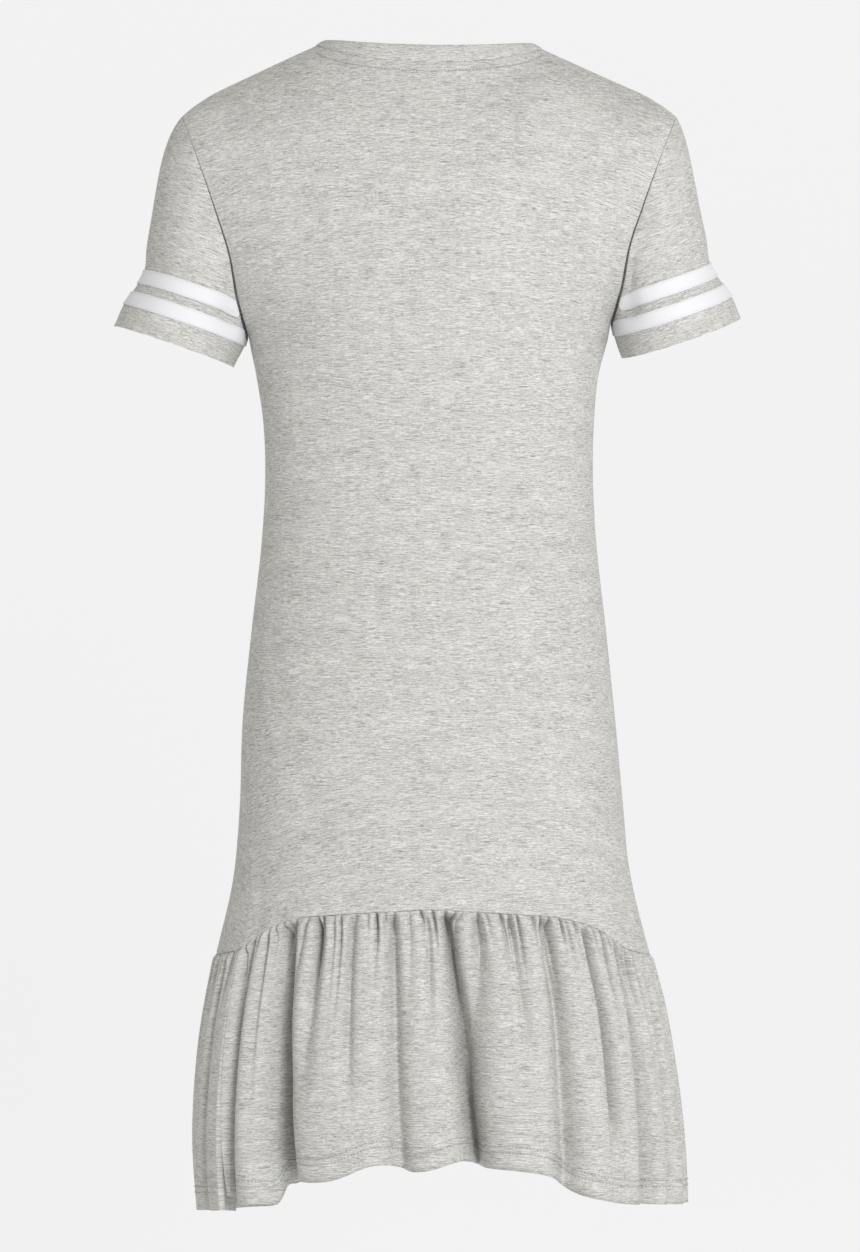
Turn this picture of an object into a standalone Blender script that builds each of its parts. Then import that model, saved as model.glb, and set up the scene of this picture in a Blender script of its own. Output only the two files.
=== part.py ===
# A knitted t-shirt dress, filled out as if worn, with nobody in it.
# Metres, +Z up. The back faces +Y, the front faces -Y, and the wearer's left is +X.
# The origin lies midway between the neck ends of the two shoulder seams.
# A drop is a depth below the origin. An angle runs round the body in degrees:
# 0 is the centre back, 90 the wearer's left, 180 the centre front, -90 the right.

import bmesh
import bpy
import numpy as np

# Cloth and making
JERSEY = 0.0012
BAND_THICKNESS = 0.0016
RUFFLE_WALL = 0.0020
TAPE_THICKNESS = 0.0010
TAPE_GAP = 0.0003
HALF_GAP = 0.0002
SLEEVE_SEAM_GAP = 0.00045
RUFFLE_SEAM_GAP = 0.0004
SHARP_EDGE = 50.0

# Grid of each body panel: columns on the neck and on each shoulder, rows below the armpit
NECK_COLUMNS = 10
SHOULDER_COLUMNS = 9
SIDE_ROWS = 11
ARMHOLE_ROWS = 12
YOKE_ROW = 6
NECK_SHARE = 0.40
NUDGE = 0.004

# Neck and shoulders
NECK_HALF_WIDTH = 0.087
SHOULDER_HALF_WIDTH = 0.190
SHOULDER_SLOPE = 0.458
SHOULDER_ROUND_FROM = 0.160
SHOULDER_ROUND_DROP = 0.0062
SHOULDER_DROP = 0.055
NECK_END_DROP = 0.00175
BACK_NECK_DEPTH = 0.056
BACK_NECK_DROP = 0.0172
BACK_NECK_CURVE = 1.5
FRONT_NECK_DEPTH = 0.076
FRONT_NECK_DROP = 0.085
NECK_TILT = 63.0
YOKE_SWELL = 1.25
NECK_LEAN = 0.00125

# Neckband: how far its brim leans in and rises above its foot, at the sides and in the middle
BAND_SIDE_LEAN = 0.0080
BAND_MIDDLE_LEAN = 0.0052
BAND_SIDE_RISE = 0.0036
BAND_MIDDLE_RISE = 0.0138
BAND_RISE_CURVE = 1.3
BAND_LIFT = 0.00048
BAND_INSET = 0.00015

# Armholes: the left one hangs a little lower, as the dress leans on its form
LEFT_ARMPIT_DROP = 0.2240
RIGHT_ARMPIT_DROP = 0.2135
ARMHOLE_HALF_DEPTH = 0.056
FRONT_SCOOP = 0.005

# How far the edge of the armhole stands out past the armpit, by height up the armhole
ARMHOLE = (
    # share of height, outward
    (0.00, 0.0000),
    (0.15, 0.0065),
    (0.35, 0.0125),
    (0.55, 0.0235),
    (0.75, 0.0375),
    (1.00, 0.0505),
)

# Section of the body and, below the seam, of the ruffle's ridges
BODY = (
    # drop, left reach, right reach, back depth, front depth, squareness
    (0.120, 0.1400, 0.1400, 0.096, 0.101, 0.000),
    (0.170, 0.1400, 0.1400, 0.100, 0.112, 0.000),
    (0.220, 0.1395, 0.1390, 0.098, 0.116, 0.000),
    (0.255, 0.1328, 0.1303, 0.094, 0.112, 0.010),
    (0.290, 0.1276, 0.1271, 0.089, 0.106, 0.020),
    (0.335, 0.1261, 0.1263, 0.086, 0.100, 0.030),
    (0.380, 0.1286, 0.1286, 0.089, 0.098, 0.030),
    (0.450, 0.1365, 0.1362, 0.102, 0.099, 0.030),
    (0.520, 0.1434, 0.1434, 0.112, 0.102, 0.030),
    (0.590, 0.1459, 0.1502, 0.114, 0.104, 0.025),
    (0.640, 0.1505, 0.1560, 0.114, 0.107, 0.020),
    (0.700, 0.1640, 0.1705, 0.119, 0.114, 0.020),
    (0.735, 0.1720, 0.1810, 0.124, 0.120, 0.020),
    (0.780, 0.1787, 0.1893, 0.129, 0.126, 0.020),
    (0.840, 0.1823, 0.1968, 0.134, 0.131, 0.020),
    (0.900, 0.1795, 0.2002, 0.137, 0.134, 0.020),
)

# The side seams swing towards the wearer's left back on their way down
SWING = 30.0
SWING_FROM = 0.42
SWING_LENGTH = 0.27

# Seam between body and ruffle: highest at the centre back, low and level at the sides
SEAM_TOP_DROP = 0.6592
SEAM_CURVE = (
    # angle from the centre back, extra drop
    (0.0, 0.000),
    (20.0, 0.0035),
    (38.0, 0.0085),
    (49.0, 0.0170),
    (60.0, 0.0315),
    (72.0, 0.0370),
    (110.0, 0.0370),
    (130.0, 0.0330),
    (155.0, 0.0180),
    (180.0, 0.0120),
)

# Hems of the two ruffles, by place across from the right seam (-1) to the left seam (1)
BACK_HEM = (
    # place, drop
    (-1.00, 0.8900),
    (-0.64, 0.8898),
    (-0.35, 0.8848),
    (-0.19, 0.8820),
    (-0.10, 0.8778),
    (-0.02, 0.8685),
    (0.05, 0.8575),
    (0.12, 0.8518),
    (0.21, 0.8528),
    (0.28, 0.8468),
    (0.37, 0.8540),
    (0.48, 0.8492),
    (0.60, 0.8620),
    (0.75, 0.8650),
    (0.80, 0.8700),
    (0.84, 0.8800),
    (1.00, 0.8778),
)
FRONT_HEM = (
    # place, drop
    (-1.00, 0.8905),
    (-0.70, 0.8880),
    (-0.35, 0.8760),
    (-0.10, 0.8710),
    (0.00, 0.8780),
    (0.09, 0.8865),
    (0.17, 0.9000),
    (0.30, 0.9040),
    (0.50, 0.9003),
    (0.67, 0.8960),
    (1.00, 0.8890),
)

# Gathers of the ruffles: height of a gather by the distance below the seam
GATHERS_A_COLUMN = 2
GATHER_HEIGHT = (
    # fall, height
    (0.000, 0.0012),
    (0.012, 0.0027),
    (0.030, 0.0023),
    (0.065, 0.0012),
    (0.110, 0.0004),
    (0.150, 0.0000),
    (0.250, 0.0000),
)
GATHER_DRIFT = 0.28
DRIFT_BEAT = 1.9
GATHER_UNEVENNESS = 0.40
UNEVENNESS_BEAT = 2.3
RUFFLE_FALLS = (0.0, 0.05, 0.15, 0.33, 0.55, 0.77, 1.0)
RUFFLE_DEPTH = 0.196
FOLD_FORMS_OVER = 0.030

# Large folds: each is a trough between two ridges
BACK_FOLDS = (
    # place at seam, place at hem, half width, depth near the seam, depth at the hem
    (0.930, 0.950, 0.034, 0.0100, 0.0170),
    (0.755, 0.735, 0.046, 0.0130, 0.0260),
    (0.665, 0.650, 0.024, 0.0060, 0.0005),
    (0.555, 0.545, 0.024, 0.0040, 0.0005),
    (0.440, 0.420, 0.036, 0.0060, 0.0080),
    (0.290, 0.245, 0.044, 0.0100, 0.0200),
    (0.205, 0.185, 0.026, 0.0065, 0.0030),
    (0.110, 0.100, 0.022, 0.0035, 0.0005),
    (-0.010, 0.000, 0.040, 0.0060, 0.0130),
    (-0.145, -0.140, 0.028, 0.0055, 0.0040),
    (-0.290, -0.280, 0.042, 0.0100, 0.0070),
    (-0.440, -0.430, 0.038, 0.0060, 0.0110),
    (-0.600, -0.585, 0.036, 0.0080, 0.0140),
    (-0.760, -0.770, 0.042, 0.0070, 0.0150),
    (-0.930, -0.920, 0.036, 0.0070, 0.0100),
)
FRONT_FOLDS = (
    # place at seam, place at hem, half width, depth near the seam, depth at the hem
    (0.900, 0.885, 0.030, 0.0040, 0.0050),
    (0.720, 0.700, 0.034, 0.0050, 0.0060),
    (0.530, 0.540, 0.042, 0.0100, 0.0190),
    (0.350, 0.375, 0.036, 0.0070, 0.0130),
    (0.190, 0.180, 0.040, 0.0090, 0.0180),
    (0.030, 0.010, 0.034, 0.0060, 0.0090),
    (-0.140, -0.160, 0.044, 0.0100, 0.0200),
    (-0.320, -0.330, 0.036, 0.0070, 0.0120),
    (-0.500, -0.480, 0.042, 0.0090, 0.0170),
    (-0.680, -0.690, 0.038, 0.0070, 0.0120),
    (-0.870, -0.860, 0.038, 0.0070, 0.0110),
)

# Mouth of each sleeve in the plane of the shoulders: outer and inner point, sag between them.
# The lines along the top and the underarm leave the armhole and reach the mouth at angles
# from the vertical, each with a pull that is a share of the line's length.
LEFT_SLEEVE = {"outer": (0.2420, -0.2164), "inner": (0.1504, -0.2480), "sag": 0.000,
               "leave": 41.0, "leave_pull": 0.76, "arrive": 36.0, "arrive_pull": 1.10}
RIGHT_SLEEVE = {"outer": (-0.2395, -0.2098), "inner": (-0.1485, -0.2405), "sag": 0.006,
                "leave": 31.5, "leave_pull": 0.62, "arrive": 32.9, "arrive_pull": 1.23}
UNDERARM = {"leave": 19.3, "leave_pull": 1.0, "arrive": 25.0, "arrive_pull": 1.0}
MOUTH_HALF_DEPTH = 0.055
MOUTH_FRONT_RISE = 0.0032
SLEEVE_BULGE = 0.12
LINE_SAMPLES = 41

# Tapes sewn round each sleeve: distance of each edge from the sleeve's hem
LOWER_TAPE = (0.018, 0.030)
UPPER_TAPE = (0.037, 0.049)
SHORTEST_TAPE_SIDE = 0.003
TAPE_SEAM_ROOM = 0.0010
UNDERARM_CLEARANCE = 0.0044
SLEEVE_ROW_SHARES = (0.20, 0.35, 0.45, 0.60)
SLEEVE_TOP_ROWS = 4

# Colours from the photograph, as linear values
HEATHER_GREY = (0.60, 0.60, 0.58, 1.0)
TAPE_WHITE = (0.90, 0.90, 0.92, 1.0)


def clear_scene():
    """Remove whatever the file opened with."""
    for thing in list(bpy.data.objects):
        bpy.data.objects.remove(thing, do_unlink=True)


def cloth_material(name, colour, roughness):
    """A plain cloth finish with no metal in it."""
    material = bpy.data.materials.new(name)
    material.use_nodes = True
    shader = material.node_tree.nodes["Principled BSDF"]
    shader.inputs["Base Color"].default_value = colour
    shader.inputs["Roughness"].default_value = roughness
    shader.inputs["Metallic"].default_value = 0.0
    return material


def smooth(table, column, at):
    """A column of a table read at a place in its first column, on a smooth curve."""
    rows = np.array(table, dtype=float)
    places = rows[:, 0]
    values = rows[:, column]
    slopes = np.gradient(values, places)
    at = np.clip(at, places[0], places[-1])
    before = np.clip(np.searchsorted(places, at, side="right") - 1, 0, len(places) - 2)
    step = places[before + 1] - places[before]
    t = (at - places[before]) / step
    start = values[before] * (1 + 2 * t) * (1 - t) ** 2
    end = values[before + 1] * t * t * (3 - 2 * t)
    bend = step * t * (1 - t) * (slopes[before] * (1 - t) - slopes[before + 1] * t)
    return start + end + bend


def ease(t):
    """A ramp from 0 to 1 with soft ends."""
    t = np.clip(t, 0.0, 1.0)
    return t * t * (3 - 2 * t)


def unit(vectors):
    """The same directions at length 1."""
    return vectors / np.linalg.norm(vectors, axis=-1, keepdims=True)


def body_ring(drop, angle):
    """Plan position on the body: an ellipse made a little squarer, front and back apart."""
    left, right, back, front, square = (smooth(BODY, column, drop) for column in range(1, 6))
    turn = np.radians(angle)
    across = (np.sin(turn) + square * np.sin(3 * turn)) / (1 - square)
    deep = (np.cos(turn) - square * np.cos(3 * turn)) / (1 - square)
    depth = np.where(deep > 0, back, front)
    return (left - right) / 2 + (left + right) / 2 * across, depth * deep


def panel_angle(side, place, drop):
    """Angle round the body of a place across the back (side 1) or front (side -1) piece."""
    swing = SWING * ease((drop - SWING_FROM) / SWING_LENGTH)
    middle = 90.0 - 90.0 * side
    return middle + 90.0 * side * place - swing


def seam_drop(angle):
    """Drop of the seam between body and ruffle at an angle round the body."""
    from_back = np.abs((angle + 180.0) % 360.0 - 180.0)
    return SEAM_TOP_DROP + smooth(SEAM_CURVE, 1, from_back)


def armpit_drop(place):
    """Drop of the armpit line, which tilts from the right side to the left."""
    share = (place + 1.0) / 2.0
    return RIGHT_ARMPIT_DROP + (LEFT_ARMPIT_DROP - RIGHT_ARMPIT_DROP) * share


def panel_columns():
    """Places across a body panel, with a column at each end of the neckline."""
    neck = np.linspace(-NECK_SHARE, NECK_SHARE, NECK_COLUMNS + 1)
    shoulder = np.linspace(NECK_SHARE, 1.0, SHOULDER_COLUMNS + 1)[1:]
    return np.concatenate((-shoulder[::-1], neck, shoulder))


def top_edge(side, place):
    """Neckline and shoulder line of a panel, and the direction in which it arrives there."""
    turn = np.radians(90.0) * np.clip(np.abs(place) / NECK_SHARE, 0.0, 1.0)
    out = np.clip((np.abs(place) - NECK_SHARE) / (1.0 - NECK_SHARE), 0.0, None)
    reach = NECK_HALF_WIDTH * np.sin(turn) + out * (SHOULDER_HALF_WIDTH - NECK_HALF_WIDTH)
    rounding = np.clip(reach - SHOULDER_ROUND_FROM, 0.0, None)
    rounding = rounding / (SHOULDER_HALF_WIDTH - SHOULDER_ROUND_FROM)
    fall = SHOULDER_SLOPE * np.clip(reach - NECK_HALF_WIDTH, 0.0, None)
    fall = fall + SHOULDER_ROUND_DROP * rounding ** 2
    inwards = np.clip(np.cos(turn), 0.0, 1.0)
    if side > 0:
        neck_depth = BACK_NECK_DEPTH
        dip = BACK_NECK_DROP * inwards ** BACK_NECK_CURVE
    else:
        neck_depth = FRONT_NECK_DEPTH
        dip = FRONT_NECK_DROP * inwards
    lean = NECK_LEAN * np.sign(place) * np.sin(turn) * (1.0 - out ** 2)
    height = lean - NECK_END_DROP - fall - dip
    edge = np.stack((np.sign(place) * reach, side * neck_depth * inwards, height), -1)
    tilt = np.radians(NECK_TILT) * inwards
    arrival = np.stack((0 * tilt, -side * np.cos(tilt), np.sin(tilt)), -1)
    return edge, arrival


def side_row(side, place, share):
    """Points of a panel between its bottom edge (share 0) and the armpit line (share 1)."""
    bottom = seam_drop(panel_angle(side, place, SWING_FROM + SWING_LENGTH))
    drop = bottom + (armpit_drop(place) - bottom) * share
    x, y = body_ring(drop, panel_angle(side, place, drop))
    return np.stack((x, y, -drop), -1)


def armhole_row(side, place, turn):
    """Points of a panel level with the armholes, whose edges follow half an oval."""
    height = (1 - np.cos(turn)) / 2
    armpit = armpit_drop(place)
    drop = armpit + height * (SHOULDER_DROP - armpit)
    left = smooth(BODY, 1, armpit)
    right = smooth(BODY, 2, armpit)
    outward = smooth(ARMHOLE, 1, height) + (side - 1) / 2 * FRONT_SCOOP * np.sin(turn)
    depth = smooth(BODY, 3 if side > 0 else 4, drop)
    end = np.arccos(ARMHOLE_HALF_DEPTH * np.sin(turn) / depth)
    across = np.sin(end * place) / np.sin(end)
    x = (left - right) / 2 + ((left + right) / 2 + outward) * across
    return np.stack((x, side * depth * np.cos(end * place), -drop), -1)


def panel_surface(side, place):
    """Outer points of a body panel, row by row from the ruffle seam to the neck."""
    rows = [side_row(side, place, share) for share in np.linspace(0.0, 1.0, SIDE_ROWS + 1)]
    for row in range(1, YOKE_ROW + 1):
        rows.append(armhole_row(side, place, np.pi * row / ARMHOLE_ROWS))
    start = rows[-1]
    leave = unit(rows[-1] - rows[-2])
    edge, arrive = top_edge(side, place)
    reach = YOKE_SWELL * np.linalg.norm(edge - start, axis=-1, keepdims=True)
    steps = ARMHOLE_ROWS - YOKE_ROW
    for step in range(1, steps + 1):
        t = step / steps
        point = start * (1 + 2 * t) * (1 - t) ** 2 + edge * t * t * (3 - 2 * t)
        rows.append(point + reach * t * (1 - t) * (leave * (1 - t) - arrive * t))
    return np.array(rows)


def panel_normals(side, place, surface):
    """Outward directions of a panel, made square to its seams where two pieces meet."""
    across = panel_surface(side, place + NUDGE) - panel_surface(side, place - NUDGE)
    up = np.gradient(surface, axis=0)
    normals = side * np.cross(up, across)
    normals[0, :, 2] = 0.0
    on_shoulder = np.abs(place) > NECK_SHARE - NUDGE
    normals[-1, on_shoulder, 1] = 0.0
    return unit(normals)


def grid_faces(rows, columns, wraps, first):
    """Quads of a grid of points that is counted from a first point."""
    last = columns if wraps else columns - 1
    faces = []
    for row in range(rows - 1):
        for column in range(last):
            beside = (column + 1) % columns
            low = first + row * columns
            high = low + columns
            faces.append((low + column, low + beside, high + beside, high + column))
    return faces


def rim_faces(line, shift):
    """Quads that close the wall between two like lines of points."""
    pairs = zip(line[:-1], line[1:])
    return [(a, b, b + shift, a + shift) for a, b in pairs]


def wall(name, outer, inner, material, wraps=False):
    """One closed cloth wall from its outer and inner grids of points."""
    rows, columns = outer.shape[:2]
    count = rows * columns
    index = np.arange(count).reshape(rows, columns)
    faces = grid_faces(rows, columns, wraps, 0) + grid_faces(rows, columns, wraps, count)
    ends = [0] if wraps else []
    for line in (index[0], index[-1]):
        faces += rim_faces(list(line) + [line[i] for i in ends], count)
    if not wraps:
        for line in (index[:, 0], index[:, -1]):
            faces += rim_faces(list(line), count)
    points = np.concatenate((outer.reshape(-1, 3), inner.reshape(-1, 3)))
    mesh = bpy.data.meshes.new(name)
    mesh.from_pydata(points.tolist(), [], [tuple(int(i) for i in face) for face in faces])
    form = bmesh.new()
    form.from_mesh(mesh)
    bmesh.ops.recalc_face_normals(form, faces=form.faces)
    form.to_mesh(mesh)
    form.free()
    mesh.materials.append(material)
    mesh.shade_smooth()
    mesh.set_sharp_from_angle(angle=np.radians(SHARP_EDGE))
    piece = bpy.data.objects.new(name, mesh)
    bpy.context.scene.collection.objects.link(piece)
    return piece


def make_panel(name, side, material):
    """Back or front of the body, cut in one from the neck to the ruffle seam."""
    place = panel_columns()
    surface = panel_surface(side, place)
    normals = panel_normals(side, place, surface)
    surface = surface + np.array((0.0, side * HALF_GAP, 0.0))
    wall(name, surface, surface - JERSEY * normals, material)
    return {"surface": surface, "normals": normals}


def armhole_loop(back, front, hand):
    """Edge of an armhole from the shoulder down the back and up the front, and its frame.

    The second value is the outward direction of the cloth, the third points into the body
    piece along its surface.
    """
    column = -1 if hand > 0 else 0
    down = slice(None, SIDE_ROWS - 1, -1)
    up = slice(SIDE_ROWS + 1, -1)
    points = np.concatenate((back["surface"][down, column], front["surface"][up, column]))
    outward = np.concatenate((back["normals"][down, column], front["normals"][up, column]))
    forward = np.roll(points, -1, axis=0) - np.roll(points, 1, axis=0)
    inward = unit(np.cross(outward, unit(forward))) * hand
    return points, outward, inward


def halfway(loop):
    """A closed loop with a point added in the middle of each side."""
    middle = (loop + np.roll(loop, -1, axis=0)) / 2
    return np.stack((loop, middle), 1).reshape(-1, 3)


def run_along(lines):
    """Distance from the first point of each column's line to each of its points."""
    steps = np.linalg.norm(np.diff(lines, axis=0), axis=-1)
    return np.concatenate((np.zeros((1, lines.shape[1])), np.cumsum(steps, axis=0)))


def read_along(run, values, distances):
    """Values held at the points of each column's line, read at a distance along it."""
    found = np.empty((run.shape[1], 3))
    for column in range(run.shape[1]):
        for axis in range(3):
            track = values[:, column, axis]
            found[column, axis] = np.interp(distances[column], run[:, column], track)
    return found


def sleeve_rows(length):
    """Row distances from the hem for each column, with rows on the edges of the tapes."""
    rows = [0 * length]
    for distance, share in zip(LOWER_TAPE + UPPER_TAPE, SLEEVE_ROW_SHARES):
        rows.append(np.minimum(distance, share * length))
    last = rows[-1]
    for step in range(1, SLEEVE_TOP_ROWS + 1):
        rows.append(last + (length - last) * step / SLEEVE_TOP_ROWS)
    return rows


def slant(cut, angle_name, pull_name, blend, hand, sideways):
    """Direction and pull of the sleeve's lines at one end, from underarm (0) to top (1)."""
    angle = UNDERARM[angle_name] + (cut[angle_name] - UNDERARM[angle_name]) * blend
    pull = UNDERARM[pull_name] + (cut[pull_name] - UNDERARM[pull_name]) * blend
    angle = np.radians(angle)
    way = unit(np.stack((hand * np.sin(angle), sideways, -np.cos(angle)), -1))
    return way * pull[:, None]


def sleeve_lines(start, hand, cut):
    """Lines down the sleeve, hem first: each a smooth curve from the armhole to the mouth."""
    count = len(start)
    turn = np.pi - 2 * np.pi * np.arange(count) / count
    outer = np.array((cut["outer"][0], 0.0, cut["outer"][1]))
    inner = np.array((cut["inner"][0], 0.0, cut["inner"][1]))
    end = (outer + inner) / 2 - np.cos(turn)[:, None] * (outer - inner) / 2
    end[:, 1] = MOUTH_HALF_DEPTH * np.sin(turn)
    end[:, 2] -= cut["sag"] * np.abs(np.sin(turn))
    end[:, 2] += MOUTH_FRONT_RISE * np.clip(-np.sin(turn), 0.0, None)
    over = (1 - np.cos(turn)) / 2
    reach = np.linalg.norm(end - start, axis=-1, keepdims=True)
    leave = reach * slant(cut, "leave", "leave_pull", over ** 3, hand, SLEEVE_BULGE * np.sin(turn))
    arrive = reach * slant(cut, "arrive", "arrive_pull", over ** 2, hand, 0 * turn)
    t = np.linspace(0.0, 1.0, LINE_SAMPLES)[:, None, None]
    line = start * (1 + 2 * t) * (1 - t) ** 2 + end * t * t * (3 - 2 * t)
    line = line + t * (1 - t) * (leave * (1 - t) - arrive * t)
    return line[::-1]


def ring_normals(surface, hand):
    """Outward directions of a closed ring of columns, hem row first."""
    around = np.roll(surface, -1, axis=1) - np.roll(surface, 1, axis=1)
    along = np.gradient(surface, axis=0)
    return unit(np.cross(around, along) * hand)


def make_sleeve(name, back, front, hand, cut, material):
    """Sleeve from the armhole's edge to its hem."""
    points, outward, inward = armhole_loop(back, front, hand)
    start = halfway(points - SLEEVE_SEAM_GAP * inward)
    lines = sleeve_lines(start, hand, cut)
    run = run_along(lines)
    surface = np.array([read_along(run, lines, row) for row in sleeve_rows(run[-1])])
    normals = ring_normals(surface, hand)
    into_body = unit(halfway(inward))
    lean = np.minimum((normals[-1] * into_body).sum(-1, keepdims=True), 0.0)
    normals[-1] = unit(normals[-1] - lean * into_body)
    wall(name, surface, surface - JERSEY * normals, material, wraps=True)
    return {"surface": surface, "normals": normals}


def make_tape(name, sleeve, edges, material):
    """Flat tape laid on a sleeve, shortened where the armhole seam cuts across it."""
    run = run_along(sleeve["surface"])
    length = run[-1]
    turn = 2 * np.pi * np.arange(len(length)) / len(length)
    under = ((1 - np.cos(turn)) / 2) ** 4
    low = np.full(len(length), edges[0])
    high = np.minimum(edges[1], length - TAPE_SEAM_ROOM - UNDERARM_CLEARANCE * under)
    kept = high - low > SHORTEST_TAPE_SIDE
    wraps = bool(kept.all())
    order = np.arange(len(length))
    if not wraps:
        order = np.roll(order, -int(np.argmin(kept)))
        order = order[kept[order]]
    foot = np.array([read_along(run, sleeve["surface"], edge)[order] for edge in (low, high)])
    lift = np.array([read_along(run, sleeve["normals"], edge)[order] for edge in (low, high)])
    inner = foot + TAPE_GAP * unit(lift)
    wall(name, inner + TAPE_THICKNESS * unit(lift), inner, material, wraps=wraps)


def make_neckband(name, back, front, material):
    """Band that stands up and in from the neckline, all the way round."""
    place = panel_columns()
    on_neck = np.abs(place) < NECK_SHARE + NUDGE
    back_edge = back["surface"][-1, on_neck]
    front_edge = front["surface"][-1, on_neck][::-1][1:-1]
    seam = halfway(np.concatenate((back_edge, front_edge)))
    depth = np.where(seam[:, 1:2] > 0, BACK_NECK_DEPTH, FRONT_NECK_DEPTH)
    middle = np.clip(np.abs(seam[:, 1:2]) / depth, 0.0, 1.0)
    rise = BAND_SIDE_RISE + (BAND_MIDDLE_RISE - BAND_SIDE_RISE) * middle ** BAND_RISE_CURVE
    lean = BAND_SIDE_LEAN + (BAND_MIDDLE_LEAN - BAND_SIDE_LEAN) * middle
    out = unit(seam * np.array((1.0, 1.0, 0.0)))
    up = np.array((0.0, 0.0, 1.0))
    foot = seam + BAND_LIFT * up - BAND_INSET * out
    brim = foot - lean * out + rise * up
    surface = np.stack((foot, brim))
    around = np.roll(surface, -1, axis=1) - np.roll(surface, 1, axis=1)
    along = np.stack((brim - foot, brim - foot))
    normals = unit(np.cross(along, around))
    facing = (normals * out).sum(-1, keepdims=True)
    normals = normals * np.where(facing < 0, -1.0, 1.0)
    wall(name, surface, surface - BAND_THICKNESS * normals, material, wraps=True)


def fold_depth(folds, place, fall):
    """How far the large folds pull the cloth inwards at a place and a fall."""
    share = fall / RUFFLE_DEPTH
    forms = ease(fall / FOLD_FORMS_OVER)
    depth = 0.0
    for at_seam, at_hem, half_width, near_seam, near_hem in folds:
        centre = at_seam + (at_hem - at_seam) * share
        size = near_seam + (near_hem - near_seam) * share
        depth = depth + size * forms * np.exp(-((place - centre) / half_width) ** 2)
    return depth


def make_ruffle(name, side, hem, folds, material):
    """Gathered ruffle under one body panel, two columns to a gather."""
    columns = panel_columns()
    split = 2 * GATHERS_A_COLUMN
    count = split * (len(columns) - 1)
    step = np.arange(count + 1)
    drift = GATHER_DRIFT * np.sin(DRIFT_BEAT * step) * (step % split != 0)
    place = np.interp((step + drift) / split, np.arange(len(columns)), columns)
    strength = 1.0 + GATHER_UNEVENNESS * np.sin(UNEVENNESS_BEAT * step + side)
    crest = np.where(step % 2 == 1, 0.5, -0.5) * strength
    crest[0] = 0.0
    crest[-1] = 0.0
    bottom = panel_surface(side, columns)[0]
    top = np.interp(place, columns, -bottom[:, 2]) + RUFFLE_SEAM_GAP
    low = smooth(hem, 1, place)
    outer = []
    inner = []
    for share in RUFFLE_FALLS:
        fall = share * RUFFLE_DEPTH
        drop = top + (low - top) * share
        angle = panel_angle(side, place, drop)
        x, y = body_ring(drop, angle)
        ahead = body_ring(drop, angle + 0.5)
        behind = body_ring(drop, angle - 0.5)
        out = unit(np.stack((behind[1] - ahead[1], ahead[0] - behind[0]), -1))
        wave = crest * smooth(GATHER_HEIGHT, 1, fall) - fold_depth(folds, place, fall)
        rim = np.stack((x, y + side * HALF_GAP), -1) + wave[:, None] * out
        outer.append(np.column_stack((rim, -drop)))
        inner.append(np.column_stack((rim - RUFFLE_WALL * out, -drop)))
    wall(name, np.array(outer), np.array(inner), material)


def build_dress():
    """All the pieces of the dress, sewn edge to edge with a hair's gap at each seam."""
    clear_scene()
    jersey = cloth_material("heather_jersey", HEATHER_GREY, 0.9)
    tape = cloth_material("white_tape", TAPE_WHITE, 0.8)
    back = make_panel("back_panel", 1, jersey)
    front = make_panel("front_panel", -1, jersey)
    for side_name, hand, cut in (("left", 1, LEFT_SLEEVE), ("right", -1, RIGHT_SLEEVE)):
        sleeve = make_sleeve("sleeve_" + side_name, back, front, hand, cut, jersey)
        make_tape("sleeve_tape_" + side_name + "_upper", sleeve, UPPER_TAPE, tape)
        make_tape("sleeve_tape_" + side_name + "_lower", sleeve, LOWER_TAPE, tape)
    make_neckband("neckband", back, front, jersey)
    make_ruffle("ruffle_back", 1, BACK_HEM, BACK_FOLDS, jersey)
    make_ruffle("ruffle_front", -1, FRONT_HEM, FRONT_FOLDS, jersey)


build_dress()
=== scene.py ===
# %% [markdown]
# # The looks of a knitted t-shirt dress
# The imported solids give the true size, the pieces and their places. Every piece here is
# worked out again from the same named sizes, on a finer grid, with the folds, gathers,
# seams and stitches that thin cloth shows. Metres, +Z up. The back of the dress faces +Y
# and the wearer's left is +X.

# %% Load the frame
import math

import bpy
import numpy as np
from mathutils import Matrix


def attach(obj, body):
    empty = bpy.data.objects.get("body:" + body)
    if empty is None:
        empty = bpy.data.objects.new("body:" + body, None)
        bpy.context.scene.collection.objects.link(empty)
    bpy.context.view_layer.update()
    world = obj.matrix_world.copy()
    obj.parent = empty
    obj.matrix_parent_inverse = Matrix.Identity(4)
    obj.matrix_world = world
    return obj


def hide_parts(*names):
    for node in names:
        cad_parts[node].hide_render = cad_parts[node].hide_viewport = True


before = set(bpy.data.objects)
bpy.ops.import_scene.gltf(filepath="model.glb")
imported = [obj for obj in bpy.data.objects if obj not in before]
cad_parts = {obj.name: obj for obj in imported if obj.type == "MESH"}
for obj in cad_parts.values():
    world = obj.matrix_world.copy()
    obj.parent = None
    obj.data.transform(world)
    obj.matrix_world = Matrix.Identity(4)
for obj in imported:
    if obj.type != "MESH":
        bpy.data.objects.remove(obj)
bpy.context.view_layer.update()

# %% [markdown]
# ## Camera
# The picture is taken straight at the back from far away, level with the middle of the
# dress. A long lens keeps the sides nearly parallel, so the camera stands 4 m off and the
# lens is worked out from the height that the picture has to cover.

# %% Camera
PICTURE_HEIGHT_PX = 1252
METRES_PER_PIXEL = 0.00077
CAMERA_DISTANCE = 4.0
CAMERA_LEVEL = -0.447
CAMERA_SIDEWAYS = -0.0008
SENSOR = 36.0

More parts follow.
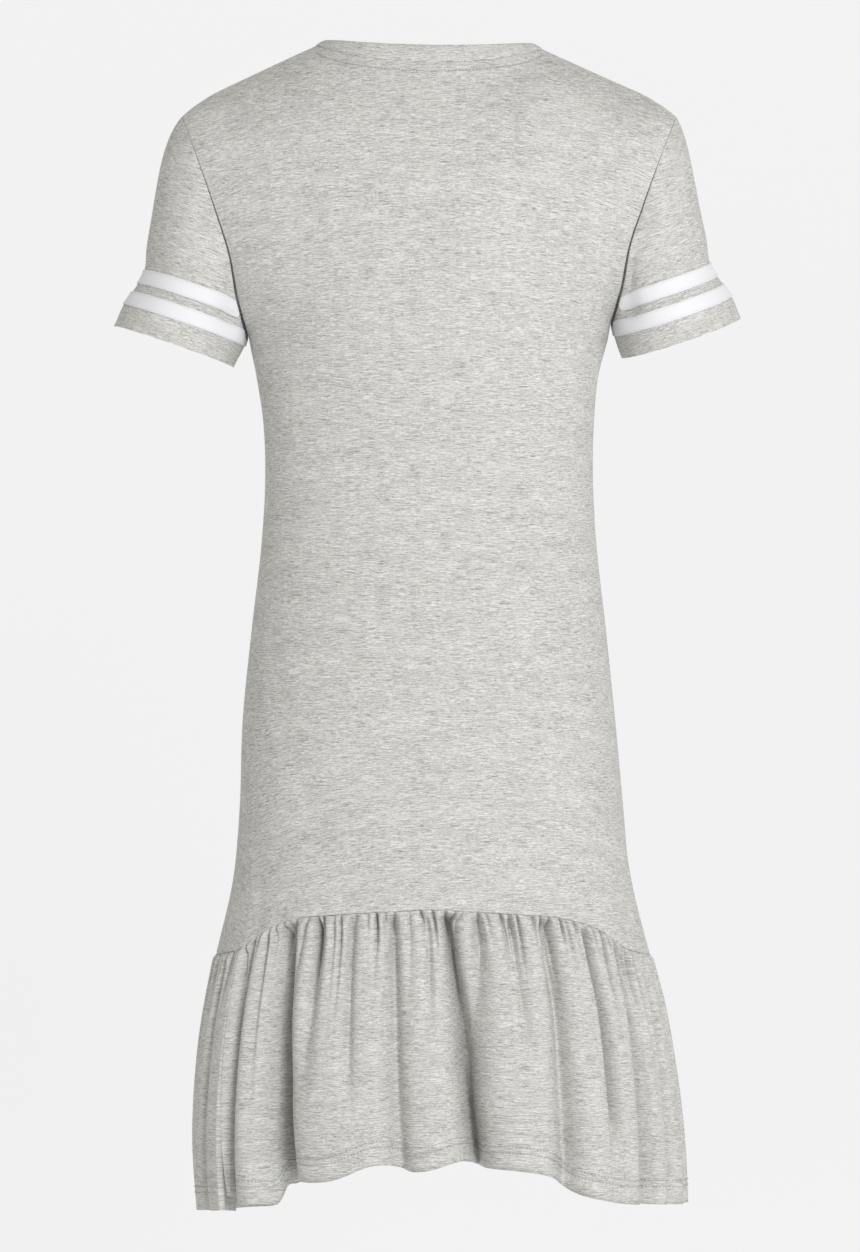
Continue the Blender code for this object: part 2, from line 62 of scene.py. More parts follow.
lens = bpy.data.cameras.new("camera")
lens.sensor_fit = "VERTICAL"
lens.sensor_width = SENSOR
lens.sensor_height = SENSOR
lens.lens = SENSOR * CAMERA_DISTANCE / (PICTURE_HEIGHT_PX * METRES_PER_PIXEL)
camera = bpy.data.objects.new("camera", lens)
camera.location = (CAMERA_SIDEWAYS, CAMERA_DISTANCE, CAMERA_LEVEL)
camera.rotation_euler = (math.radians(90), 0.0, math.radians(180))
bpy.context.scene.collection.objects.link(camera)
bpy.context.scene.camera = camera
print("lens", round(lens.lens, 1), "mm")

# %% [markdown]
# ## Small tools for curves
# Tables hold a few places and values. A cubic curve through them, with the slope at each
# row taken from its neighbours, gives a smooth line with no corners.


# %% Curves
def cubic(t, start, end, leave, arrive):
    """A curve from start (t 0) to end (t 1) that leaves and arrives with given slopes."""
    ends = start * (1 + 2 * t) * (1 - t) ** 2 + end * t * t * (3 - 2 * t)
    return ends + t * (1 - t) * (leave * (1 - t) - arrive * t)


def smooth(table, column, at):
    """A column of a table read at a place in its first column, on a cubic curve."""
    rows = np.array(table, dtype=float)
    places = rows[:, 0]
    values = rows[:, column]
    slopes = np.gradient(values, places)
    at = np.clip(at, places[0], places[-1])
    before = np.clip(np.searchsorted(places, at, side="right") - 1, 0, len(places) - 2)
    step = places[before + 1] - places[before]
    t = (at - places[before]) / step
    return cubic(t, values[before], values[before + 1],
                 step * slopes[before], step * slopes[before + 1])


def ease(t):
    """A ramp from 0 to 1 with soft ends: 3 t squared less 2 t cubed."""
    t = np.clip(t, 0.0, 1.0)
    return t * t * (3 - 2 * t)


def unit(vectors):
    """The same directions at length 1."""
    return vectors / np.maximum(np.linalg.norm(vectors, axis=-1, keepdims=True), 1e-12)


def bump(at, centre, half_width):
    """A rounded hill: e to the power of minus the squared distance in half widths."""
    return np.exp(-(((at - centre) / half_width) ** 2))


def run_along(lines):
    """Distance from the first row to each row, down every column of a grid of points."""
    steps = np.linalg.norm(np.diff(lines, axis=0), axis=-1)
    return np.concatenate((np.zeros((1, lines.shape[1])), np.cumsum(steps, axis=0)))


def surface_normals(surface, sign, wraps=False):
    """Directions square to a grid: the cross product of its two gradients."""
    if wraps:
        across = np.roll(surface, -1, axis=1) - np.roll(surface, 1, axis=1)
    else:
        across = np.gradient(surface, axis=1)
    return sign * unit(np.cross(np.gradient(surface, axis=0), across))


# %% [markdown]
# ## The body's form
# The body is a stack of rings, as a dress form is. Each ring is an ellipse with its own
# reach to the left and right and its own depth to the back and front, read from one table.
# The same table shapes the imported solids, so the cloth lies exactly on them.

# %% Section of the body
BODY = (
    # drop, left reach, right reach, back depth, front depth, squareness
    (0.120, 0.1400, 0.1400, 0.096, 0.101, 0.000),
    (0.170, 0.1400, 0.1400, 0.100, 0.112, 0.000),
    (0.220, 0.1395, 0.1390, 0.098, 0.116, 0.000),
    (0.255, 0.1328, 0.1303, 0.094, 0.112, 0.010),
    (0.290, 0.1276, 0.1271, 0.089, 0.106, 0.020),
    (0.335, 0.1261, 0.1263, 0.086, 0.100, 0.030),
    (0.380, 0.1286, 0.1286, 0.089, 0.098, 0.030),
    (0.450, 0.1365, 0.1362, 0.102, 0.099, 0.030),
    (0.520, 0.1434, 0.1434, 0.112, 0.102, 0.030),
    (0.590, 0.1459, 0.1502, 0.114, 0.104, 0.025),
    (0.640, 0.1505, 0.1560, 0.114, 0.107, 0.020),
    (0.700, 0.1640, 0.1705, 0.119, 0.114, 0.020),
    (0.735, 0.1720, 0.1810, 0.124, 0.120, 0.020),
    (0.780, 0.1787, 0.1893, 0.129, 0.126, 0.020),
    (0.840, 0.1823, 0.1968, 0.134, 0.131, 0.020),
    (0.900, 0.1795, 0.2002, 0.137, 0.134, 0.020),
)
SWING = 30.0
SWING_FROM = 0.42
SWING_LENGTH = 0.27


def body_ring(drop, angle):
    """Plan position: reach times the sine of the angle, depth times its cosine."""
    left, right, back, front, square = (smooth(BODY, column, drop) for column in range(1, 6))
    turn = np.radians(angle)
    across = (np.sin(turn) + square * np.sin(3 * turn)) / (1 - square)
    deep = (np.cos(turn) - square * np.cos(3 * turn)) / (1 - square)
    depth = np.where(deep > 0, back, front)
    return (left - right) / 2 + (left + right) / 2 * across, depth * deep


def panel_angle(side, place, drop):
    """Angle round the body of a place across the back (side 1) or front (side -1)."""
    swing = SWING * ease((drop - SWING_FROM) / SWING_LENGTH)
    middle = 90.0 - 90.0 * side
    return middle + 90.0 * side * place - swing


for label, level in (("bust", 0.22), ("waist", 0.34), ("hips", 0.55)):
    ring = np.stack(body_ring(level, np.linspace(0.0, 360.0, 361)), -1)
    print(label, "girth", round(float(run_along(ring[:, None])[-1, 0]), 3), "m")

# %% [markdown]
# The panels end on known lines. The ruffle's seam is high at the centre back and low at the
# sides. The neckline is a quarter turn on each side of the middle, the shoulder a straight
# slope, and each armhole a small table of how far the cloth reaches outwards as it climbs.

# %% Seam, neck, shoulders and armholes
SEAM_TOP_DROP = 0.6592
SEAM_CURVE = (
    # angle from the centre back, extra drop
    (0.0, 0.000),
    (20.0, 0.0035),
    (38.0, 0.0085),
    (49.0, 0.0170),
    (60.0, 0.0315),
    (72.0, 0.0370),
    (110.0, 0.0370),
    (130.0, 0.0330),
    (155.0, 0.0180),
    (180.0, 0.0120),
)
NECK_HALF_WIDTH = 0.087
SHOULDER_HALF_WIDTH = 0.190
SHOULDER_SLOPE = 0.458
SHOULDER_ROUND_FROM = 0.160
SHOULDER_ROUND_DROP = 0.0062
SHOULDER_DROP = 0.055
NECK_END_DROP = 0.00175
NECK_LEAN = 0.00125
BACK_NECK_DEPTH = 0.056
BACK_NECK_DROP = 0.0172
BACK_NECK_CURVE = 1.5
FRONT_NECK_DEPTH = 0.076
FRONT_NECK_DROP = 0.085
NECK_TILT = 63.0
NECK_SHARE = 0.40
YOKE_SWELL = 1.25
LEFT_ARMPIT_DROP = 0.2240
RIGHT_ARMPIT_DROP = 0.2135
ARMHOLE_HALF_DEPTH = 0.056
FRONT_SCOOP = 0.005
ARMHOLE_ROWS = 12
YOKE_ROW = 6
ARMHOLE = (
    # share of height, outward
    (0.00, 0.0000),
    (0.15, 0.0065),
    (0.35, 0.0125),
    (0.55, 0.0235),
    (0.75, 0.0375),
    (1.00, 0.0505),
)


def seam_drop(angle):
    """Drop of the ruffle's seam at an angle round the body."""
    from_back = np.abs((angle + 180.0) % 360.0 - 180.0)
    return SEAM_TOP_DROP + smooth(SEAM_CURVE, 1, from_back)


def armpit_drop(place):
    """Drop of the armpit line: a straight line from the right armpit to the left one."""
    share = (place + 1.0) / 2.0
    return RIGHT_ARMPIT_DROP + (LEFT_ARMPIT_DROP - RIGHT_ARMPIT_DROP) * share


def top_edge(side, place):
    """Neckline and shoulder line, and the direction in which the cloth arrives there."""
    turn = np.radians(90.0) * np.clip(np.abs(place) / NECK_SHARE, 0.0, 1.0)
    out = np.clip((np.abs(place) - NECK_SHARE) / (1.0 - NECK_SHARE), 0.0, None)
    reach = NECK_HALF_WIDTH * np.sin(turn) + out * (SHOULDER_HALF_WIDTH - NECK_HALF_WIDTH)
    rounding = np.clip(reach - SHOULDER_ROUND_FROM, 0.0, None)
    rounding = rounding / (SHOULDER_HALF_WIDTH - SHOULDER_ROUND_FROM)
    fall = SHOULDER_SLOPE * np.clip(reach - NECK_HALF_WIDTH, 0.0, None)
    fall = fall + SHOULDER_ROUND_DROP * rounding ** 2
    inwards = np.clip(np.cos(turn), 0.0, 1.0)
    if side > 0:
        neck_depth = BACK_NECK_DEPTH
        dip = BACK_NECK_DROP * inwards ** BACK_NECK_CURVE
    else:
        neck_depth = FRONT_NECK_DEPTH
        dip = FRONT_NECK_DROP * inwards
    lean = NECK_LEAN * np.sign(place) * np.sin(turn) * (1.0 - out ** 2)
    height = lean - NECK_END_DROP - fall - dip
    edge = np.stack((np.sign(place) * reach, side * neck_depth * inwards, height), -1)
    tilt = np.radians(NECK_TILT) * inwards
    arrival = np.stack((0 * tilt, -side * np.cos(tilt), np.sin(tilt)), -1)
    return edge, arrival


print("armholes", round(LEFT_ARMPIT_DROP - SHOULDER_DROP, 3), "and",
      round(RIGHT_ARMPIT_DROP - SHOULDER_DROP, 3), "m high")

# %% [markdown]
# Between its edges the cloth has to run smoothly. Rows of points climb from the ruffle's
# seam to the armpits on the body's rings, then beside the armholes, and from there a cubic
# curve takes each column to the top edge. The mesh could also be pulled into shape by hand,
# but worked-out rows keep both sides of every seam exactly together.


# %% Surface of a panel
def side_row(side, place, share):
    """Points between the ruffle's seam (share 0) and the armpit line (share 1)."""
    bottom = seam_drop(panel_angle(side, place, SWING_FROM + SWING_LENGTH))
    drop = bottom + (armpit_drop(place) - bottom) * share
    x, y = body_ring(drop, panel_angle(side, place, drop))
    return np.stack((x, y, -drop), -1)


def armhole_row(side, place, turn):
    """Points level with the armholes, whose edges follow half an oval."""
    height = (1 - np.cos(turn)) / 2
    armpit = armpit_drop(place)
    drop = armpit + height * (SHOULDER_DROP - armpit)
    left = smooth(BODY, 1, armpit)
    right = smooth(BODY, 2, armpit)
    outward = smooth(ARMHOLE, 1, height) + (side - 1) / 2 * FRONT_SCOOP * np.sin(turn)
    depth = smooth(BODY, 3 if side > 0 else 4, drop)
    end = np.arccos(ARMHOLE_HALF_DEPTH * np.sin(turn) / depth)
    across = np.sin(end * place) / np.sin(end)
    x = (left - right) / 2 + ((left + right) / 2 + outward) * across
    return np.stack((x, side * depth * np.cos(end * place), -drop), -1)


def panel_surface(side, place, shares, levels):
    """Outer points of a body panel from the ruffle's seam to the neck.

    Rows follow the shares up to the armpit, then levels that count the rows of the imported
    solid: half an oval up to YOKE_ROW, and a cubic curve from there to the top edge.
    """
    rows = [side_row(side, place, share) for share in shares]
    lower = levels[levels <= YOKE_ROW]
    rows += [armhole_row(side, place, np.pi * level / ARMHOLE_ROWS) for level in lower]
    start = armhole_row(side, place, np.pi * YOKE_ROW / ARMHOLE_ROWS)
    before = armhole_row(side, place, np.pi * (YOKE_ROW - 1) / ARMHOLE_ROWS)
    leave = unit(start - before)
    edge, arrive = top_edge(side, place)
    reach = YOKE_SWELL * np.linalg.norm(edge - start, axis=-1, keepdims=True)
    upper = (levels[levels > YOKE_ROW] - YOKE_ROW) / (ARMHOLE_ROWS - YOKE_ROW)
    rows += [cubic(t, start, edge, reach * leave, reach * arrive) for t in upper]
    return np.array(rows)


nape = panel_surface(1, np.zeros(1), [0.0], np.array([0.0, 12.0]))[-1, 0]
print("middle of the back neckline", [round(float(v), 4) for v in nape])

# %% [markdown]
# ## Making a mesh from a grid
# Every cloth piece is one grid of points with a thickness. The outer grid goes in as quads
# and a Solidify modifier adds the wall inwards. Where two pieces are sewn together, both
# edges roll inwards on a small quarter circle and carry on as seam allowance, so a seam
# shows as a soft groove and no light comes through it.

# %% Grid to mesh
JERSEY = 0.0009
SEAM_ROLL = 0.0006
ALLOWANCE = (0.0030, 0.0052)


def near_ends(count, ends=(0.0, 0.0012, 0.003, 0.006, 0.010)):
    """Numbers from 0 to 1: even in the middle, with the given close ones at both ends."""
    middle = np.linspace(ends[-1], 1.0 - ends[-1], count)[1:-1]
    return np.concatenate((ends, middle, 1.0 - np.array(ends[::-1])))


def edge_sink(distance, roll):
    """How far cloth has rolled in at a distance from its edge: a quarter circle."""
    inside = np.clip(roll - distance, 0.0, roll)
    return roll - np.sqrt(roll ** 2 - inside ** 2)


def roll_in(surface, normals, cloth, bottom=False, top=False, ends=False, roll=SEAM_ROLL):
    """The grid with its sewn edges rolled inwards and seam allowances added.

    Points sink along the normal by the quarter circle, and the rows or columns of the
    allowance repeat the edge and sink further. The roll may differ from row to row or
    from column to column. The map of the cloth and the normals grow with the grid.
    """
    down = run_along(surface)
    across = run_along(np.swapaxes(surface, 0, 1)).T
    sewn = ((bottom, down, SEAM_ROLL), (top, down[-1] - down, roll),
            (ends, across, roll), (ends, across[:, -1:] - across, roll))
    sink = np.zeros(surface.shape[:2])
    for wanted, distance, radius in sewn:
        if wanted:
            sink = np.maximum(sink, edge_sink(distance, radius))
    extra = len(ALLOWANCE)
    pads = ((extra * bottom, extra * top), (extra * ends, extra * ends))
    surface, normals, cloth = (np.pad(grid, pads + ((0, 0),), mode="edge")
                               for grid in (surface, normals, cloth))
    sink = np.pad(sink, pads, mode="edge")
    for step, depth in enumerate(ALLOWANCE):
        first, last = extra - 1 - step, -extra + step
        for wanted, line in ((bottom, sink[first]), (top, sink[last]),
                             (ends, sink[:, first]), (ends, sink[:, last])):
            if wanted:
                np.maximum(line, depth, out=line)
    return surface - sink[..., None] * normals, cloth, normals


def place_mesh(name, points, faces, material):
    """A smooth-shaded object at the origin from points, faces and a material."""
    mesh = bpy.data.meshes.new(name)
    mesh.from_pydata(points.tolist(), [], faces)
    mesh.shade_smooth()
    mesh.materials.append(material)
    piece = bpy.data.objects.new(name, mesh)
    bpy.context.scene.collection.objects.link(piece)
    return piece


def cloth_map(across, down):
    """The cloth's own coordinates in metres: along the courses and up the wales."""
    return np.stack(np.broadcast_arrays(across, down), -1)


def grid_mesh(name, surface, cloth, material, outward, wraps=False, closed=False):
    """Object from a grid of points, with the cloth's own coordinates as its UV map.

    Quads join neighbours; a grid that wraps joins its last column to its first, and a
    closed one its last row to its first. The UV map 'cloth' is in metres along the
    courses and up the wales. Faces are turned to agree with the outward directions.
    """
    rows, columns = surface.shape[:2]
    row = np.arange(rows if closed else rows - 1)
    column = np.arange(columns if wraps else columns - 1)
    row, column = np.meshgrid(row, column, indexing="ij")
    above = (row + 1) % rows
    beside = (column + 1) % columns
    quads = np.stack((row * columns + column, row * columns + beside,
                      above * columns + beside, above * columns + column), -1).reshape(-1, 4)
    points = surface.reshape(-1, 3)
    corner = points[quads]
    facing = np.cross(corner[:, 2] - corner[:, 0], corner[:, 3] - corner[:, 1])
    if (facing * outward.reshape(-1, 3)[quads[:, 0]]).sum() < 0:
        quads = quads[:, ::-1]
    piece = place_mesh(name, points, quads.tolist(), material)
    flat = cloth.reshape(-1, 2)[quads.reshape(-1)].reshape(-1, 4, 2)
    if wraps:
        steps = np.abs(np.diff(cloth[..., 0], axis=1))
        width = float(steps.sum(1).max()) + float(steps.mean())
        jump = flat[:, :, 0].max(1) - flat[:, :, 0].min(1) > width / 2
        low = flat[:, :, 0] < flat[:, :, 0].mean(1, keepdims=True)
        flat[:, :, 0] += width * (low & jump[:, None])
    layer = piece.data.uv_layers.new(name="cloth")
    layer.data.foreach_set("uv", flat.reshape(-1))
    return piece


def give_wall(piece, thickness):
    """A wall inwards from the outer surface, finished with its rim."""
    wall = piece.modifiers.new("wall", "SOLIDIFY")
    wall.thickness = thickness
    wall.offset = -1.0
    wall.use_even_offset = False
    return piece


# %% [markdown]
# ## Cloth finishes
# The jersey is a mix of pale and dark fibres, so it shows short dark streaks along its
# courses. One node group makes that heather from stretched noise on the cloth's own UV
# map, and adds the height of the knitted stitches. The tape has a finer, firmer weave.


# %% Helpers for nodes
def add_node(tree, kind, **settings):
    """A node of a kind with its settings made."""
    node = tree.nodes.new(kind)
    for key, value in settings.items():
        setattr(node, key, value)
    return node


def set_inputs(node, **values):
    """Plain values for a node's sockets; an underscore stands for a space in a name."""
    for key, value in values.items():
        node.inputs[key.replace("_", " ")].default_value = value


def math_node(tree, operation, first, second):
    """One sum of two numbers, each a socket or a plain number."""
    node = add_node(tree, "ShaderNodeMath", operation=operation)
    for socket, value in zip(node.inputs, (first, second)):
        if hasattr(value, "links"):
            tree.links.new(value, socket)
        else:
            socket.default_value = value
    return node.outputs[0]


def stretched_noise(tree, vector, along, across, detail, roughness):
    """Noise drawn out along the courses: the map is scaled before the noise is read."""
    scale = add_node(tree, "ShaderNodeMapping")
    set_inputs(scale, Scale=(along, across, 1.0))
    noise = add_node(tree, "ShaderNodeTexNoise")
    set_inputs(noise, Scale=1.0, Detail=detail, Roughness=roughness)
    tree.links.new(vector, scale.inputs["Vector"])
    tree.links.new(scale.outputs["Vector"], noise.inputs["Vector"])
    return noise.outputs["Fac"]


def step_between(tree, value, low, high):
    """A soft step: 0 under the low value, 1 over the high one."""
    node = add_node(tree, "ShaderNodeMapRange", interpolation_type="SMOOTHSTEP")
    set_inputs(node, From_Min=low, From_Max=high)
    tree.links.new(value, node.inputs["Value"])
    return node.outputs["Result"]


def mix_colour(tree, share, first, second):
    """A colour between two, each a socket or a plain colour."""
    node = add_node(tree, "ShaderNodeMix", data_type="RGBA")
    tree.links.new(share, node.inputs["Factor"])
    for key, value in ((6, first), (7, second)):
        if hasattr(value, "links"):
            tree.links.new(value, node.inputs[key])
        else:
            node.inputs[key].default_value = value
    return node.outputs[2]


# %% [markdown]
# The heather could be a picture, but noise stays sharp close up and needs no file. It is
# read at several scales, each drawn out along the courses, and the sum picks a shade
# between the pale and the dark fibre.

# %% Heather group
WALE_PITCH = 0.00085
COURSE_PITCH = 0.00065
WAVE_HEIGHT = 0.004
TONE = 0.36
SPECK_STRENGTH = 0.35
FIBRES = (
    # repeats a metre along the course, across it, detail, strength
    (85.0, 1450.0, 1.0, 1.30),
    (260.0, 1650.0, 1.0, 1.20),
    (650.0, 1500.0, 0.0, 0.60),
    (45.0, 600.0, 1.0, 0.35),
    (18.0, 90.0, 1.0, 0.30),
)


def heather_group():
    """Fibre colours and stitch height of the jersey, from its UV map in metres."""
    tree = bpy.data.node_groups.new("heather jersey", "ShaderNodeTree")
    face = tree.interface
    face.new_socket("Cloth", in_out="INPUT", socket_type="NodeSocketVector")
    for name in ("Pale", "Dark"):
        face.new_socket(name, in_out="INPUT", socket_type="NodeSocketColor")
    face.new_socket("Colour", in_out="OUTPUT", socket_type="NodeSocketColor")
    face.new_socket("Height", in_out="OUTPUT", socket_type="NodeSocketFloat")
    inside = add_node(tree, "NodeGroupInput")
    outside = add_node(tree, "NodeGroupOutput")
    cloth = inside.outputs["Cloth"]
    waves = stretched_noise(tree, cloth, 60.0, 60.0, 1.0, 0.5)
    rise = math_node(tree, "MULTIPLY", waves, WAVE_HEIGHT)
    lift = add_node(tree, "ShaderNodeCombineXYZ")
    tree.links.new(rise, lift.inputs["Y"])
    wavy = add_node(tree, "ShaderNodeVectorMath", operation="ADD")
    tree.links.new(cloth, wavy.inputs[0])
    tree.links.new(lift.outputs["Vector"], wavy.inputs[1])
    wavy = wavy.outputs["Vector"]
    total = TONE
    for along, across, detail, strength in FIBRES:
        noise = stretched_noise(tree, wavy, along, across, detail, 0.6)
        noise = math_node(tree, "SUBTRACT", noise, 0.5)
        noise = math_node(tree, "MULTIPLY", noise, strength)
        total = math_node(tree, "ADD", noise, total)
    specks = stretched_noise(tree, wavy, 120.0, 1500.0, 0.0, 0.5)
    specks = step_between(tree, specks, 0.62, 0.80)
    total = math_node(tree, "ADD", math_node(tree, "MULTIPLY", specks, SPECK_STRENGTH), total)
    colour = mix_colour(tree, total, inside.outputs["Pale"], inside.outputs["Dark"])
    tree.links.new(colour, outside.inputs["Colour"])
    split = add_node(tree, "ShaderNodeSeparateXYZ")
    tree.links.new(cloth, split.inputs["Vector"])
    wale = math_node(tree, "MULTIPLY", split.outputs["X"], 2 * math.pi / WALE_PITCH)
    course = math_node(tree, "MULTIPLY", split.outputs["Y"], 2 * math.pi / COURSE_PITCH)
    wale = math_node(tree, "SINE", wale, 0.0)
    course = math_node(tree, "ADD", course, math_node(tree, "MULTIPLY", wale, 1.2))
    course = math_node(tree, "SINE", course, 0.0)
    loops = math_node(tree, "ADD", math_node(tree, "MULTIPLY", wale, 0.5), course)
    loops = math_node(tree, "MULTIPLY", loops, 0.25)
    loops = math_node(tree, "ADD", loops, total)
    tree.links.new(loops, outside.inputs["Height"])
    return tree


heather = heather_group()
print("heather nodes", len(heather.nodes))

# %% [markdown]
# All the finishes are matt. The tape gets slanting ribs with painted shade in their valleys,
# and the thread a plain colour that noise breaks up. Bump is used only for what is finer than
# the mesh, such as single loops.

# %% Materials
CLOTH_SHINE = 0.2
JERSEY_FINISH = (0.92, 0.03)
TAPE_FINISH = (0.75, 0.10)
THREAD_FINISH = (0.60, 0.10)
JERSEY_PALE = (0.74, 0.735, 0.70, 1.0)
JERSEY_DARK = (0.24, 0.238, 0.226, 1.0)
TAPE_PALE = (0.85, 0.85, 0.875, 1.0)
# Painted shade: the colour of the rib valleys, darker than the tape's white.
TAPE_VALLEY_SHADE = (0.74, 0.74, 0.765, 1.0)
TAPE_RIB = 0.0009
TAPE_RIB_LEAN = 0.6
THREAD_SPECKS = 900.0
THREAD_DARKER = 0.75


def cloth_material(name, roughness, sheen):
    """An empty cloth finish: a matt Principled shader with some sheen and no metal."""
    material = bpy.data.materials.new(name)
    material.use_nodes = True
    shader = material.node_tree.nodes["Principled BSDF"]
    set_inputs(shader, Roughness=roughness, Metallic=0.0, Sheen_Weight=sheen,
               Specular_IOR_Level=CLOTH_SHINE)
    return material, shader


def add_relief(tree, shader, height, strength, distance):
    """Fine bump of a height socket on the shader's normal."""
    relief = add_node(tree, "ShaderNodeBump")
    set_inputs(relief, Strength=strength, Distance=distance)
    tree.links.new(height, relief.inputs["Height"])
    tree.links.new(relief.outputs["Normal"], shader.inputs["Normal"])


def jersey_material():
    """Heather jersey: the group's colour, with the stitches as a fine bump."""
    material, shader = cloth_material("heather jersey", *JERSEY_FINISH)
    tree = material.node_tree
    cloth = add_node(tree, "ShaderNodeUVMap", uv_map="cloth")
    group = add_node(tree, "ShaderNodeGroup", node_tree=heather)
    set_inputs(group, Pale=JERSEY_PALE, Dark=JERSEY_DARK)
    tree.links.new(cloth.outputs["UV"], group.inputs["Cloth"])
    tree.links.new(group.outputs["Colour"], shader.inputs["Base Color"])
    add_relief(tree, shader, group.outputs["Height"], 0.35, 0.0004)
    return material


def tape_material():
    """White woven tape: fine ribs across it, with painted shade that darkens their valleys."""
    material, shader = cloth_material("white tape", *TAPE_FINISH)
    tree = material.node_tree
    cloth = add_node(tree, "ShaderNodeUVMap", uv_map="cloth")
    split = add_node(tree, "ShaderNodeSeparateXYZ")
    tree.links.new(cloth.outputs["UV"], split.inputs["Vector"])
    lean = math_node(tree, "MULTIPLY", split.outputs["Y"], TAPE_RIB_LEAN)
    lean = math_node(tree, "ADD", split.outputs["X"], lean)
    rib = math_node(tree, "MULTIPLY", lean, 2 * math.pi / TAPE_RIB)
    rib = math_node(tree, "SINE", rib, 0.0)
    # Painted shade: the rib valleys are coloured darker than the crests.
    shade = step_between(tree, rib, -1.0, 0.4)
    colour = mix_colour(tree, shade, TAPE_VALLEY_SHADE, TAPE_PALE)
    tree.links.new(colour, shader.inputs["Base Color"])
    add_relief(tree, shader, rib, 0.3, 0.0002)
    return material


def thread_material(name, colour):
    """Sewing thread: a plain colour, broken up along it by fine noise."""
    material, shader = cloth_material(name, *THREAD_FINISH)
    tree = material.node_tree
    place = add_node(tree, "ShaderNodeTexCoord")
    noise = add_node(tree, "ShaderNodeTexNoise")
    set_inputs(noise, Scale=THREAD_SPECKS)
    darker = tuple(THREAD_DARKER * c for c in colour[:3]) + (1.0,)
    tree.links.new(place.outputs["Object"], noise.inputs["Vector"])
    shade = mix_colour(tree, noise.outputs["Fac"], darker, colour)
    tree.links.new(shade, shader.inputs["Base Color"])
    return material


jersey = jersey_material()
tape_white = tape_material()
grey_thread = thread_material("grey thread", (0.42, 0.42, 0.41, 1.0))
white_thread = thread_material("white thread", (0.80, 0.80, 0.83, 1.0))
print("materials", len(bpy.data.materials))

# %% [markdown]
# ## Where the gathers are
# The ruffle's cloth is bunched on to the seam in small tucks, about seven millimetres
# apart and never quite even. The body feels them too, so their places, depths and lengths
# are rolled once from a fixed seed and used on both sides of the seam.

# %% Tucks
TUCK_PITCH = 0.0320
TUCK_DEPTH = 0.0100
TUCK_HALF_WIDTH = 0.0058
SHORTEST_TUCK = 0.012
LONGEST_TUCK = 0.075
MOST_DRIFT = 0.14


def roll_tucks(seed):
    """Rows of place, depth, length, half width and drift, one for each small tuck."""
    dice = np.random.default_rng(seed)
    count = int(2.0 / TUCK_PITCH)
    at = -1.0 + TUCK_PITCH * (np.arange(count) + 0.5 + 0.30 * dice.uniform(-1, 1, count))
    size = TUCK_DEPTH * dice.uniform(0.45, 1.25, count)
    spare = LONGEST_TUCK - SHORTEST_TUCK
    length = SHORTEST_TUCK + spare * dice.uniform(0, 1, count) ** 2.0
    wide = TUCK_HALF_WIDTH * dice.uniform(0.7, 1.3, count)
    drift = dice.uniform(-MOST_DRIFT, MOST_DRIFT, count)
    return np.stack((at, size, length, wide, drift), -1)


back_tucks = roll_tucks(11)
front_tucks = roll_tucks(23)
print("tucks", len(back_tucks) + len(front_tucks))

# %% [markdown]
# ## Back and front of the body
# Each panel is cut in one from the neck to the ruffle. The cloth is smooth, with a few
# shallow drags from the armholes and hips, and tiny puckers where the gathered ruffle
# pulls at the bottom seam. They are added along the normals as soft hills and troughs.

# %% Body panels
PANEL_COLUMNS = 210
SIDE_ROWS = 96
LEVELS = 60
RELAX_STEPS = 60
NECK_BLEND_STEPS = 160
NECK_BLEND_DEPTH = 0.012
PUCKER_SHARE = 0.12
PUCKER_REACH = 0.007
PUCKER_SPREAD = 1.5
STILL_FROM = 0.97
CLOTH_SHIFT = 0.7
SHOULDER_ROLL = 0.0003
ARMPIT_ROLL = 0.0012
SIDE_DROOP = 0.030
YOKE_DROOP = 0.020
BACK_DRAGS = (
    # place, drop, half width across, half length down, height, slant
    (0.93, 0.660, 0.040, 0.055, -0.0012, 0.0),
    (0.80, 0.250, 0.160, 0.030, -0.0014, 0.5),
    (-0.80, 0.245, 0.160, 0.030, -0.0014, -0.5),
    (0.45, 0.345, 0.300, 0.022, -0.0010, 0.10),
    (-0.40, 0.365, 0.300, 0.020, -0.0010, -0.08),
    (0.10, 0.410, 0.350, 0.026, 0.0008, 0.05),
    (0.62, 0.560, 0.060, 0.110, -0.0012, 0.0),
    (-0.70, 0.600, 0.060, 0.100, -0.0012, 0.0),
    (0.55, 0.130, 0.090, 0.050, -0.0014, 0.9),
    (-0.55, 0.130, 0.090, 0.050, -0.0014, -0.9),
)
FRONT_DRAGS = (
    # place, drop, half width across, half length down, height, slant
    (0.78, 0.260, 0.180, 0.030, -0.0018, 0.6),
    (-0.78, 0.255, 0.180, 0.030, -0.0018, -0.6),
    (0.35, 0.355, 0.300, 0.022, -0.0011, 0.10),
    (-0.42, 0.380, 0.300, 0.020, -0.0011, -0.08),
    (0.55, 0.600, 0.060, 0.100, -0.0014, 0.0),
    (-0.60, 0.580, 0.060, 0.110, -0.0014, 0.0),
    (0.50, 0.150, 0.090, 0.050, -0.0014, 0.8),
    (-0.50, 0.150, 0.090, 0.050, -0.0014, -0.8),
)


def relax(surface, rows, place):
    """Soften the bend at some rows by moving points between their neighbours up and down."""
    count = np.arange(len(surface))
    share = bump(count, rows[0], rows[1])[:, None] * (1.0 - ease((np.abs(place) - 0.86) / 0.14))
    share = share[1:-1, :, None] * 0.5
    for _ in range(RELAX_STEPS):
        middle = (surface[:-2] + surface[2:]) / 2
        surface[1:-1] += share * (middle - surface[1:-1])
    return surface


def blend_neck(surface, place):
    """Spread the corner at each end of the neckline over the cloth below, like a film."""
    to_top = run_along(surface[::-1])[::-1]
    share = ease((to_top - 0.002) / NECK_BLEND_DEPTH) * bump(to_top, 0.0, 0.11)
    share = share * (1.0 - ease((np.abs(place) - 0.80) / 0.15))
    share = share[1:-1, 1:-1, None]
    for _ in range(NECK_BLEND_STEPS):
        beside = surface[1:-1, :-2] + surface[1:-1, 2:]
        middle = (beside + surface[:-2, 1:-1] + surface[2:, 1:-1]) / 4
        surface[1:-1, 1:-1] += share * 0.6 * (middle - surface[1:-1, 1:-1])
    return surface


